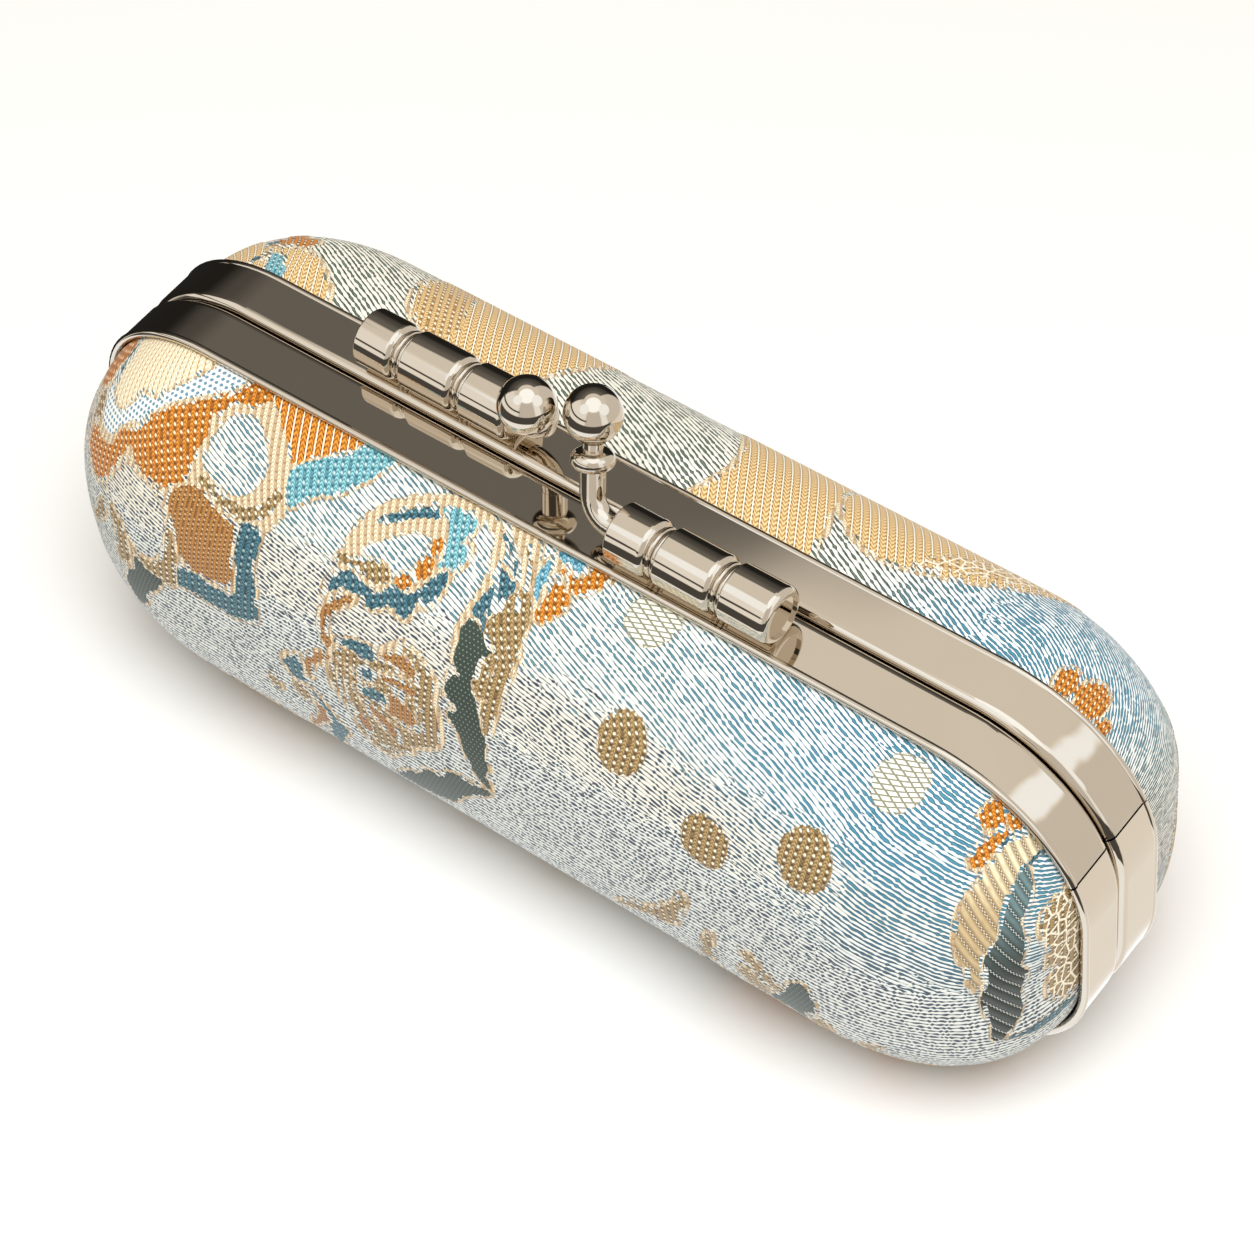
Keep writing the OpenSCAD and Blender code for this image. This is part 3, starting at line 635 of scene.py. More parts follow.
BRANCH = [
    ("orange", [(72.7, 33), (73.5, 35), (75.4, 35.4), (76.8, 33.6), (76.9, 32), (75.5, 31.7), (73.5, 32)],
        0.7),
    ("orange", [(73.7, 28), (75, 29.8), (77, 31.3), (78.4, 31), (77.8, 29), (76.3, 28.2), (75.6, 26.4),
        (74, 26.4)], 0.7),
    ("orange", [(77.4, 33.3), (80, 32.6), (82, 31.8), (81, 30.8), (78.2, 31.8)], 0.5),
    ("cord", [(76.5, 26.2), (77.6, 28.4), (79.4, 29.8), (82.4, 30), (84.4, 27.6), (82.2, 26), (81.2, 23.6),
        (80, 22), (79.9, 19), (79.4, 15), (78.6, 12), (78, 8), (76.8, 6), (76, 10), (74.5, 13), (74, 16),
        (74, 20), (75, 23)], 0.5),
    ("line", "slate", [(77.6, 29), (79, 30.6), (81, 31)], 0.6),
    ("line", "slate", [(82, 25.5), (84, 27.2), (87, 27)], 0.8),
    ("leaf", [(82, 26), (83.6, 23), (83.8, 20), (82.5, 17), (83.7, 13), (83, 9.5), (84, 6), (83, 3),
        (83.4, 0), (82.5, -3), (80.6, -6.6), (79.3, -7), (79.2, -3), (78.5, 0), (78, 4), (78.5, 8),
        (78, 12), (79.5, 15), (79.8, 19), (80.6, 22)], 0.4),
    ("mesh", [(85.8, 16.5), (87.4, 18.2), (90, 19.5), (93, 15), (95, 8), (95, -2), (92.5, -5), (90, -4.6),
        (88, -3), (87, 0), (88.4, 4), (87, 5.4), (87.4, 9), (86.4, 12)], 0.7),
    ("slate", [(80.6, -7.4), (84, -7), (87, -6.5), (90, -6.5), (92.5, -8), (88, -9.2), (84, -8.7)], 0.3),
]

BACK_LENS = [
    ("gold", [(-84, 26), (-82, 30), (-78, 34), (-72, 38.5), (-67, 42), (-60, 43), (-51, 43), (-52.5, 38.6),
        (-56, 35.6), (-61, 33.2), (-66, 33.2), (-70, 33.4), (-73, 30), (-77, 26.6)], 0.8),
    ("teal", [(-67.2, 35.4), (-65, 35.6), (-61, 38.6), (-59.5, 42), (-63.4, 42)], 0.4),
    ("slate", oval(-70, 36.4, 1.6, 1.6), 0.4),
    ("tan", oval(-68.4, 35.7, 1.5, 2, 20), 0.4),
    ("orange", [(-71, 31.4), (-69, 32.4), (-66, 31.8), (-63.2, 32.2), (-62.4, 30), (-64, 28.5),
        (-66.4, 28.4), (-68, 25), (-70.4, 24.4), (-69, 28.4), (-70.6, 30)], 0.7),
    ("slate", [(-72.4, 30.6), (-70.6, 31.6), (-69, 30.9), (-70.6, 30.2)], 0.2),
]

BACK_CLOUDS = [
    ("gold", [(-45.4, 20), (-45, 27), (-43.4, 31.5), (-40.5, 35), (-37, 38), (-31, 39), (-24, 38.4),
        (-20, 36.8), (-18.4, 33), (-17, 28), (-16.2, 22), (-17, 13), (-22, 7), (-31, 5), (-40, 8),
        (-44.4, 14)], 0.8),
    ("knotted", [(-44.6, 22), (-44.2, 27.6), (-42.4, 32), (-39, 35.6), (-35, 37), (-33.6, 33), (-36.4, 28),
        (-38.8, 22), (-42, 18)], 0.0),
    ("gold", [(5.6, 17), (8.6, 24), (10.6, 28.4), (12, 33), (12, 43), (28.2, 43), (28.4, 36), (26.4, 31),
        (25, 24), (23.5, 14), (14, 10)], 0.8),
    ("gold", [(22.4, 12), (24.6, 20), (26.4, 27.4), (29.4, 31.4), (33.4, 34), (38, 34.8), (43, 33),
        (48, 30.4), (52, 27), (55.2, 23.4), (58, 18), (54, 11), (44, 7), (31, 7)], 0.8),
    ("mesh", [(41, 33), (45, 30.8), (49, 28), (53, 24), (56, 19), (52, 18), (46, 23), (42, 28)], 0.0),
]

BACK_BLOSSOM = [
    ("orange", [(68.4, 35.4), (69, 37.6), (71.4, 38), (73, 36.2), (71.6, 34.2), (69.6, 33.6)], 0.7),
    ("orange", [(72.6, 33.4), (74.4, 36), (77.6, 35.4), (78.6, 32.6), (76.6, 30.4), (74, 30.4)], 0.7),
    ("orange", [(78.9, 33.4), (80.8, 33.2), (82, 31.6), (80.4, 30.8)], 0.5),
]


def front_pattern(pattern):
    """The front cloth: what the photograph shows above, and more of the same below."""
    for motif in (CLOUD_FLOWER, SWIRL, PEONY, LOBES, LONG_LEAF, BUTTERFLY, DOTS, TENDRILS, BRANCH):
        draw(pattern, motif)
    draw(pattern, CLOUD_FLOWER, moved((-55, 20), (50, -28), 185))
    draw(pattern, PEONY, moved((-13, 6), (-45, -24), 150))
    draw(pattern, DOTS[1:4], moved((38, 18), (5, -30), 170))
    draw(pattern, LONG_LEAF, moved((0, 10), (-70, -22), 120, 0.8))
    draw(pattern, BUTTERFLY, moved((6, 34), (72, -28), 60, 1.2))


def back_pattern(pattern):
    """The back cloth: the clouds under its upper edge, and the front's motifs scattered below."""
    for motif in (BACK_LENS, BACK_CLOUDS, BACK_BLOSSOM):
        draw(pattern, motif)
    draw(pattern, CLOUD_FLOWER, moved((-55, 20), (48, -14), 175))
    draw(pattern, PEONY, moved((-13, 6), (-52, -4), 20, 1.1))
    draw(pattern, LOBES, moved((-13, 6), (-52, -4), 20, 1.1))
    draw(pattern, SWIRL, moved((-16, 27), (-8, -8), 160))
    draw(pattern, LONG_LEAF, moved((0, 10), (-26, -22), 75))
    draw(pattern, DOTS[1:4], moved((38, 18), (8, -30), 10))
    draw(pattern, BUTTERFLY, moved((6, 34), (10, -20), 30, 1.3))
    draw(pattern, BRANCH, moved((80, 12), (82, -6), 190, 0.8))


# Cloth and its weaves
def cloth_cover(side, draw_pattern):
    """The woven cover of one half, with its raised motifs."""
    dome = Dome(side, COVER_N, 0.0, rings=134, swell=SWELL)
    pattern = Pattern(dome.flats.reshape(-1, 2))
    draw_pattern(pattern)
    most = np.max([pattern.inside[kind] for kind in KINDS], axis=0)
    rise = np.clip(most / EDGE_RUN + 0.5, 0, 1)
    made, used = half_mesh(side + "_brocade", side, dome, lift=MOTIF_RISE * rise * rise * (3 - 2 * rise))
    for name, inside in (*pattern.inside.items(), ("edge", most)):
        layer = made.data.attributes.new(name, "FLOAT", "POINT")
        layer.data.foreach_set("value", inside[used].astype(np.float32))
    return made, dome


# Colours of each kind: thread, the painted highlight on its strands, the painted shade in the holes
# between, and the stitches that show there
PALETTE = {
    "orange": ((210, 124, 30), (240, 168, 70), (96, 48, 8), (253, 236, 200)),
    "copper": ((184, 122, 52), (214, 158, 88), (84, 48, 16), (234, 204, 152)),
    "tan": ((166, 134, 82), (206, 178, 128), (66, 48, 24), (250, 240, 214)),
    "cream": ((240, 222, 182), (252, 243, 220), (156, 112, 62), (255, 250, 232)),
    "ivory": ((246, 232, 196), (253, 246, 226), (198, 162, 106), (255, 252, 240)),
    "teal": ((110, 184, 192), (190, 230, 232), (20, 80, 96), (232, 246, 242)),
    "slate": ((54, 102, 116), (104, 152, 162), (18, 40, 48), (196, 220, 218)),
    "green": ((62, 74, 64), (98, 110, 94), (26, 34, 30), (132, 144, 126)),
    "sky": ((96, 166, 186), (170, 214, 224), (30, 92, 112), (214, 236, 238)),
    "gold": ((224, 184, 118), (248, 222, 172), (128, 84, 36), (254, 244, 218)),
}

# Millimetres from one cord of the branch, one tooth of an edge and one twist of a braid to the next
CORD_PITCH, TOOTH_PITCH, BRAID_STEP = 1.45, 1.22, 0.78

# Kinds that take another kind's threads on that cloth
CLOTH_KIND = {"front": {"knotted": "tan", "mesh": "tan"}, "back": {"knotted": "gold", "mesh": "gold"}}


def weave_material(side):
    """Brocade: slits between the floating threads of the ground, and a weave for each kind of motif."""
    front = side == "front"
    material, graph = new_material(side + "_brocade")
    u, v = graph.flat_place()
    sway = graph.cloud(110.0) - 0.5
    tremble = graph.wisp(0.9, 2.2, 1.0) - 0.5
    ragged = (graph.wisp(0.45, 1.1, 1.0) - 0.5) * 9.0
    waver = (graph.wisp(0.6, 0.6) - 0.5) * 1.6

    def slits(phase, along, stagger, line, width):
        """A fine line and lens-shaped slits a phase: how far inside one, and the thread's height."""
        row = phase.floor()
        part = (phase - row).off(0.5)
        place = along + graph.scatter(row, 5.0) * stagger + row * 0.5 + waver
        size = graph.scatter(place.floor(), row, 2.0).ramp(-0.45, 0.8)
        fine = graph.line_noise(along * 0.7 + row * 17.3).ramp(0.22, 0.45) * line
        opening = place.fract().near(0.5, 0.48) * size * width + fine
        return opening - part, part * 2.0

    def blend(amount, first, second):
        return first + (second - first) * amount

    def beyond(value, border):
        """1 where value passes a border that is as ragged as the threads."""
        return (value + sway * 6.0 + ragged).ramp(border - 0.15, border + 0.15)


    # Ground: slanting slits near the clasp, level ones lower down, broad blue ones at the right end
    if front:
        wave = sway * 1.1 + tremble * 0.16
        high = slits((v + u * 0.36 + wave) / 0.66, u / 2.7, 1.0, 0.085, 0.27)
        middle = slits((v + u * 0.19 + wave) / 0.58, u / 1.4, 0.7, 0.08, 0.31)
        spread = v.highest(-14.0)
        low = slits(v * 1.28 + spread * spread * 0.019 + u * 0.03 + wave * 1.2, u / 0.95, 0.3, 0.09, 0.35)
        broad = slits((v + u * 0.30 + wave) / 0.70, u / 3.6, 1.0, 0.17, 0.25)
        above = beyond(v, 23.0)
        below = beyond(v * -1.0, -13.0)
        blue = (u + v * 0.5).ramp(34.0, 72.0) * (v + u * 0.16).ramp(12.0, 34.0)
        end = beyond((u * 0.7).lowest(v + 34.0), 40.0)
    else:
        wave = sway * 1.0 + tremble * 0.16
        high = slits((v + u * -0.5 + wave) / 0.80, u / 3.0, 1.0, 0.10, 0.28)
        middle = slits((v + u * -0.2 + wave) / 0.62, u / 1.5, 0.7, 0.08, 0.31)
        low = slits((v + u * 0.03 + wave) / 0.58, u / 1.0, 0.3, 0.06, 0.28)
        broad = slits((v + u * -0.3 + wave) / 0.66, u / 2.6, 1.0, 0.16, 0.27)
        above = beyond(v, 7.0)
        below = beyond(v * -1.0, 2.0)
        blue = u.ramp(36.0, 54.0) * u.ramp(98.0, 74.0) * v.ramp(4.0, 22.0)
        end = beyond(u, 54.0)
    depth = blend(end, blend(below, blend(above, middle[0], high[0]), low[0]), broad[0])
    ridge = blend(end, blend(below, blend(above, middle[1], high[1]), low[1]), broad[1])
    gap = (depth + blue * 0.02).ramp(-0.02, 0.05)
    eye = (depth + blue * 0.05).ramp(0.15, 0.24)
    warm = u.ramp(-10.0, -75.0) if front else u.ramp(30.0, -20.0)
    tone = graph.wisp(0.25, 1.4, 2.0)
    thread = graph.mix(blue, (247, 244, 231), (238, 244, 244))
    thread = graph.mix(warm * 0.55, thread, (248, 240, 218))
    thread = graph.mix(tone.ramp(0.45, 0.75) * 0.35, thread, (216, 218, 208))
    thread = graph.mix(below * 0.6, thread, (226, 232, 230))
    beige = v.near(19.0, 8.0) if front else v.near(-2.0, 8.0)
    thread = graph.mix(beige * 0.4, thread, (238, 222, 200))
    dark = graph.mix(above, (64, 78, 92), (66, 110, 122) if front else (66, 78, 66))
    dark = graph.mix(blue, dark, (40, 104, 126))
    fill = graph.mix(blue, (136, 170, 178) if front else (140, 154, 142), (104, 160, 178))
    dark = graph.mix(eye * above.highest(blue) * 0.5, dark, fill)
    # The floats are painted darker toward the slits, as shade
    colour = graph.mix(ridge.ramp(0.70, 0.25) * 0.22, thread, dark)
    colour = graph.mix(gap, colour, dark)

    # Motifs: twisted columns that lean near the clasp, with holes and stitches in the gaps between them
    lean = (v - 22.0).highest(0.0) * 0.58 if front else (v - 4.0) * -0.62
    leaning = u + lean + tremble * 0.12

    def basket(colours, pitch, step, shown):
        base, strand_highlight, hole_shade, knot = colours
        column = leaning / pitch
        cell = column.floor()
        away = (column - cell).off(0.5)
        between = away.ramp(0.26, 0.12)
        twist = ((column + 0.5).off_middle() * 1.1 * pitch + v) / (step * 0.5)
        strand = twist.off_middle() * 2.0
        place = (v / step + cell * 0.5 + tremble * 0.1).fract()
        pick = graph.scatter(cell, (v / step + cell * 0.5).floor(), 1.0)
        opening = place.near(0.78, 0.30) * between
        reach = away * (pitch / step)
        dot = ((reach * reach + (place - 0.30) * (place - 0.30)).math("SQRT")).ramp(0.27, 0.14)
        dot = dot * pick.ramp(0.04, 0.12) * shown
        # Painted highlight on the tops of the strands, and painted shade between them, toward the hollows
        # and in the holes
        shade = graph.mix(strand.ramp(0.25, 0.9) * 0.55, base, strand_highlight)
        strand_shade = (strand.ramp(0.45, 0.05) * 0.75).highest(away.ramp(0.36, 0.16) * 0.62)
        shade = graph.mix(strand_shade.highest(opening * 0.98), shade, hole_shade)
        shade = graph.mix(dot, shade, knot)
        height = (strand * 0.25 + 0.6) * between.minus_from(1.0) + between * 0.35
        return shade, height - opening * 0.35 + dot * 0.4

    # Ropes of two braids with a plain cord between
    def striped(kind, pitch, cord_width, cord_colour, gap_shade):
        base, strand_highlight, hole_shade, _ = PALETTE[kind]
        stripe = leaning / pitch
        cell = stripe.floor()
        across = stripe - cell
        cord = across.off(0.5).ramp(cord_width, cord_width * 0.5)
        braid = (across.off(0.5).minus_from(0.5) * 1.3 * pitch + v) / BRAID_STEP
        strand = braid.off_middle() * 2.0
        beside = (across.off(0.5) - cord_width * 1.45).abs().ramp(0.10, 0.03)
        opening = beside * (v / BRAID_STEP + cell * 0.5).fract().near(0.5, 0.40)
        # Painted highlight on the braid's strands, and painted shade between them and in the gaps beside
        # the cord
        shade = graph.mix(strand.ramp(0.35, 0.95) * 0.7, base, strand_highlight)
        shade = graph.mix(strand.ramp(0.50, 0.05) * 0.65, shade, hole_shade)
        shade = graph.mix(opening * gap_shade, shade, hole_shade)
        shade = graph.mix(cord, shade, cord_colour)
        return shade, strand * 0.25 + 0.45 - opening * 0.3 + cord * 0.35

    # Thick slanting cords of the branch, with painted shade on their sides and in the gaps between them,
    # and stitches in the gaps
    slant = u * 0.81 + v * 0.58
    run = v * 0.81 - u * 0.58
    cord_cell = (slant / CORD_PITCH).floor()
    cord_away = (slant / CORD_PITCH).off_middle()
    cord_gap = cord_away.ramp(0.38, 0.45)
    cord_stitch = (run / 0.72 + cord_cell * 0.5).fract().near(0.5, 0.34)
    cord_knot = cord_away.off(0.48).ramp(0.09, 0.04) * cord_stitch
    cord_hair = graph.wisp(9.0, 0.7, 0.0, 35.6)

    def corded(plain, shadow, hole_shade, knot):
        shade = graph.mix(cord_away.ramp(0.12, 0.36) * 0.75, plain, shadow)
        shade = graph.mix(cord_hair.ramp(0.5, 0.7) * 0.35, shade, shadow)
        shade = graph.mix(cord_gap * 0.9, shade, hole_shade)
        return graph.mix(cord_knot, shade, knot)

    cord_height = cord_away.ramp(0.46, 0.05) * 1.3 + cord_knot * 0.3

    # Short satin stitches laid like bricks, with painted shade in the seams between them
    def shingled(base, seam_shade):
        level = (v * 0.94 - u * 0.34) / 0.70
        row = level.floor()
        x = ((u * 0.94 + v * 0.34) / 1.5 + row * 0.5 + level.fract() * 0.45).fract() - 0.5
        seam = level.off_middle().ramp(0.34, 0.46).highest(x.abs().ramp(0.36, 0.46))
        return graph.mix(seam * 0.9, base, seam_shade), seam.minus_from(1.0)

    # Small dots on a lattice
    def dotted(base, spot, pitch, radius):
        row = (v / pitch).floor()
        x = (u / pitch + row * 0.5 + tremble * 0.25).fract() - 0.5
        y = (v / pitch).fract() - 0.5
        dot = ((x * x + y * y).math("SQRT")).ramp(radius, radius * 0.5)
        return graph.mix(dot, base, spot), dot

    # Cells of the mesh patch
    cells = graph.new("ShaderNodeTexVoronoi", {"Vector": graph.on_cloth(0.62, 0.42), "Scale": 1.0},
                      feature="DISTANCE_TO_EDGE", voronoi_dimensions="2D")
    cell_edge = graph.value(cells, "Distance").ramp(0.12, 0.05)

    column_cell = (leaning / TOOTH_PITCH).floor()
    jag = (graph.scatter(column_cell, (v / 1.7 + column_cell * 0.37).floor(), 7.0) - 0.5) * 0.6
    tooth = ((leaning / TOOTH_PITCH).off_middle() - 0.25) * 0.7
    ragged_edge = jag + tooth
    height = gap * -0.8 + ridge * 0.35 + 0.5

    def cover(kind, woven):
        """Lays the weave of one kind over what is there so far."""
        nonlocal colour, height
        mask = (graph.attribute(kind) + ragged_edge).ramp(-0.05, 0.05)
        colour = graph.mix(mask, colour, woven[0])
        height = blend(mask, height, woven[1])

    # The open weaves share one lattice, and each has its own threads
    threads = PALETTE["cream"]
    woven = graph.attribute("cream")
    shown = woven * 0.0
    for kind, stitches in (("orange", 1.0), ("tan", 1.0), ("teal", 0.7), ("slate", 0.6), ("sky", 0.6),
                           ("knotted", 0.9), ("mesh", 0.9)):
        inside = graph.attribute(kind)
        woven = woven.highest(inside)
        mask = (inside + ragged_edge).ramp(-0.05, 0.05)
        new_threads = PALETTE[CLOTH_KIND[side].get(kind, kind)]
        threads = [graph.mix(mask, old, new) for old, new in zip(threads, new_threads)]
        shown = shown + shown.minus_from(stitches) * mask
    mask = (woven + ragged_edge).ramp(-0.05, 0.05)
    lattice = basket(threads, 1.2, 1.02, shown)
    colour = graph.mix(mask, colour, lattice[0])
    height = blend(mask, height, lattice[1])
    cell_lines = (graph.attribute("mesh") + ragged_edge).ramp(-0.05, 0.05) * cell_edge
    colour = graph.mix(cell_lines, colour, (252, 242, 216))
    cover("copper", basket(PALETTE["copper"], 0.82, 0.72, 0.7))
    cover("pale", shingled((244, 240, 220), (128, 130, 104)))
    cover("stripe", striped("orange", 1.32, 0.12, (255, 246, 224), 1.0))
    if front:
        cover("gold", striped("ivory", 1.2, 0.075, (206, 162, 94), 0.35))
    else:
        cover("gold", striped("gold", 1.38, 0.10, (255, 250, 232), 1.0))
    green_base, _, green_hole_shade, green_knot = PALETTE["green"]
    # Green twill: painted shade between its twisted strands
    green_twist_shaded = graph.mix(((u * 0.5 + v) / 0.46).off_middle() * 1.1, green_base, green_hole_shade)
    green = dotted(green_twist_shaded, green_knot, 0.66, 0.22)
    cover("green", (green[0], green[1] * 0.4 + 0.4))
    band = dotted((238, 240, 234), (100, 142, 162), 0.86, 0.40)
    cover("dotted", (band[0], band[1].minus_from(1.0) * 0.5 + 0.3))
    # The cord is painted lighter toward the top of the cloth, as light falling from above
    tan_cord_lit_from_above = graph.mix(v.ramp(18.0, 27.0), (202, 178, 136), (244, 228, 190))
    cover("cord", (corded(tan_cord_lit_from_above, (156, 128, 86), (92, 72, 46), (255, 248, 226)), cord_height))
    # The leaf is painted darker toward the bottom of the cloth, as shade
    leaf_cord_lit_from_above = graph.mix(v.ramp(8.0, 22.0), (56, 64, 57), (112, 136, 136))
    leaf_shadow = graph.mix(v.ramp(8.0, 22.0), (34, 41, 36), (66, 88, 90))
    cover("leaf", (corded(leaf_cord_lit_from_above, leaf_shadow, (30, 36, 34), (232, 236, 224)), cord_height))
    # Painted shadow line along the edges of the raised motifs
    border = graph.attribute("edge").near(-0.08, 0.16)
    colour = graph.mix(border * 0.45, colour, (150, 122, 84))
    graph.surface({"Base Color": colour, "Roughness": 0.55, "Sheen Weight": 0.15, "Sheen Roughness": 0.4,
                   "Specular IOR Level": 0.4})
    graph.bump(height, 0.17 * MM)
    return material


def nickel_material():
    """Polished nickel, true on its flats and a little wavy where the strip was bent round the corners."""
    material, graph = new_material("polished_nickel")
    x, _, _ = graph.split(graph.new("ShaderNodeTexCoord").outputs["Object"])
    bent = (x.abs() / MM).ramp(54.0, 68.0)
    smudge = graph.cloud(120.0, 3.0)
    colour = graph.mix(smudge, (0.625, 0.545, 0.445, 1.0), (0.655, 0.575, 0.475, 1.0))
    graph.surface({"Base Color": colour, "Metallic": 1.0, "Roughness": smudge * 0.03 + 0.025})
    graph.bump(graph.cloud(48.0, 0.0) * 0.25 + graph.cloud(210.0, 1.0) * bent * 0.12, 0.35 * MM)
    return material


def steel_material():
    """Plain steel of pins and rivets, turned and a little dull."""
    material, graph = new_material("turned_steel")
    grain = graph.cloud(2500.0, stretch=(0.1, 1, 1))
    colour = graph.mix(grain, (176, 174, 172), (206, 204, 200))
    graph.surface({"Base Color": colour, "Metallic": 1.0, "Roughness": grain * 0.15 + 0.25})
    graph.bump(grain, 0.05 * MM, 0.4)
    return material


def board_material():
    """Grey-brown moulded board."""
    material, graph = new_material("moulded_board")
    fibre = graph.cloud(700.0, 5.0, stretch=(1, 0.3, 1))
    colour = graph.mix(fibre, (150, 138, 120), (182, 170, 150))
    graph.surface({"Base Color": colour, "Roughness": fibre * 0.1 + 0.8})
    graph.bump(fibre, 0.1 * MM, 0.6)
    return material


def satin_material():
    """Champagne satin with fine warp lines."""
    material, graph = new_material("satin")
    u, v = graph.flat_place()
    warp = (u / 0.28).off_middle() * 2.0
    slub = graph.scatter((u / 0.28).floor(), (v / 6.0).floor(), 1.0)
    cloud = graph.cloud(60.0, 3.0)
    colour = graph.mix(warp * 0.35, (226, 212, 184), (204, 188, 158))
    colour = graph.mix(slub * 0.2 + cloud * 0.2, colour, (238, 228, 204))
    graph.surface({"Base Color": colour, "Roughness": cloud * 0.12 + 0.34, "Sheen Weight": 0.4})
    graph.bump(warp * 0.5 + slub * 0.2, 0.05 * MM, 0.7)
    return material


def paper_material():
    """Twisted paper."""
    material, graph = new_material("twisted_paper")
    fibre = graph.cloud(1500.0, 4.0)
    graph.surface({"Base Color": graph.mix(fibre, (176, 156, 122), (206, 188, 152)), "Roughness": 0.9})
    graph.bump(fibre, 0.08 * MM, 0.6)
    return material


def dress(piece, material):
    """Gives a piece or a node one material."""
    piece.data.materials.clear()
    piece.data.materials.append(material)


# Lining, with the soft puckers of cloth that is glued into a bowl
def cloth_lining(side):
    dome = Dome(side, INSIDE_N, INSIDE_N - COVER_N, rings=64)
    flats = dome.flats.reshape(-1, 2)
    depth = dome.places.reshape(-1, 3)[:, 2]
    around = np.arctan2(flats[:, 1] * 2.2, flats[:, 0])
    pucker = np.sin(around * 46 + 1.3 * np.sin(around * 7)) * np.clip((depth - 6) / 8, 0, 1)
    fade = np.clip((30 - depth) / 14, 0, 1)
    lift = -PUCKER * pucker * fade - PUCKER
    made, _ = half_mesh(side + "_satin", side, dome, lift=lift, flip=True)
    return made, dome


def cut_sheet(dome):
    """Works out the area inside the dome's flat outline, the cut of cloth stretched over or into the shell;
    nothing is done with it.
    """
    outline = dome.flats[0] * MM
    ahead = np.roll(outline, -1, 0)
    area = abs((outline[:, 0] * ahead[:, 1] - outline[:, 1] * ahead[:, 0]).sum()) / 2


# Twisted cord: place in the channel, turns a millimetre, and radii of the twist and of a ply
CORD_N, CORD_D = 1.4, 1.85
CORD_TURNS = 0.45
CORD_RADIUS, PLY_RADIUS, PLY_SIDES = 0.19, 0.17, 6


def edge_cord(side):
    """Two-ply twisted cord wedged between the strip and the cloth."""
    ring, outward = ring_points(HALF_H - CORD_N, CORD_N)
    step = np.linalg.norm(np.roll(ring, -1, 0) - ring, axis=1)
    run = np.concatenate([[0], np.cumsum(step)[:-1]])
    total = step.sum()
    turns = round(total * CORD_TURNS) * 2 * math.pi / total
    count = len(ring)
    points, faces = [], []
    for strand in (0, math.pi):
        twist = run * turns + strand
        middle = ring + outward * (CORD_RADIUS * np.cos(twist))[:, None]
        height = CORD_D + CORD_RADIUS * np.sin(twist)
        start = len(points) * count
        for k in range(PLY_SIDES):
            angle = 2 * math.pi * k / PLY_SIDES
            place = middle + outward * (PLY_RADIUS * math.cos(angle))
            points.append(np.column_stack([place, height + PLY_RADIUS * math.sin(angle)]))
            a, b = start + k * count, start + (k + 1) % PLY_SIDES * count
            for i in range(count):
                j = (i + 1) % count
                quad = (a + i, a + j, b + j, b + i)
                faces.append(quad if side == "front" else quad[::-1])
    return half_object(side + "_twisted_cord", side, np.concatenate(points), faces)


def even_normals(node, limit=32.0):
    """Lets light run smoothly over the facets of a turned or bent CAD form. No point moves."""
    mesh = node.data
    place = values_of(mesh.vertices, "co", 3).reshape(-1, 3)
    _, welded = np.unique(np.round(place * 1e7).astype(np.int64), axis=0, return_inverse=True)
    corner = values_of(mesh.loops, "vertex_index", 1, np.int32)
    count = values_of(mesh.polygons, "loop_total", 1, np.int32)
    facing = values_of(mesh.polygons, "normal", 3).reshape(-1, 3)
    area = values_of(mesh.polygons, "area")
    face = np.repeat(np.arange(len(count)), count)
    group = welded.ravel()[corner]
    order = np.argsort(group, kind="stable")
    bounds = np.flatnonzero(np.diff(group[order])) + 1
    normals = facing[face].astype(float)
    least = math.cos(math.radians(limit))
    for corners in np.split(order, bounds):
        own = facing[face[corners]].astype(float)
        near = (own @ own.T) > least
        total = (near * area[face[corners]][None, :]) @ own
        normals[corners] = total / np.maximum(np.linalg.norm(total, axis=1, keepdims=True), 1e-12)
    mesh.polygons.foreach_set("use_smooth", np.ones(len(count), bool))
    mesh.normals_split_custom_set(normals.tolist())


# Pieces
NODE_FINISH = {
    "frame": "nickel", "seam_plate": "nickel", "clasp_barrel": "nickel", "clasp_arm": "nickel",
    "clasp_ball": "nickel", "leaf": "nickel", "pin": "steel", "rivets": "steel", "shell": "board",
}
finishes = {"nickel": nickel_material(), "steel": steel_material(), "board": board_material()}
for name, node in frame["nodes"].items():
    for ending, finish in NODE_FINISH.items():
        if name.endswith(ending):
            dress(node, finishes[finish])
            if finish == "nickel":
                even_normals(node)


def put_on(piece, side, node, material):
    """A piece takes the place of a node on its half."""
    dress(piece, material)
    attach(piece, side + "_half")
    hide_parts(side + "_" + node)


satin = satin_material()
paper = paper_material()
for side, draw_pattern in (("front", front_pattern), ("back", back_pattern)):
    cover, cover_dome = cloth_cover(side, draw_pattern)
    put_on(cover, side, "cover", weave_material(side))
    cut_sheet(cover_dome)
    lining, lining_dome = cloth_lining(side)
    put_on(lining, side, "lining", satin)
    cut_sheet(lining_dome)
    put_on(edge_cord(side), side, "edge_cord", paper)


# Stage: pale floor, soft light and the camera
FLOOR_HALF = 3.0
FADE_START, FADE_END = 0.3, 0.75


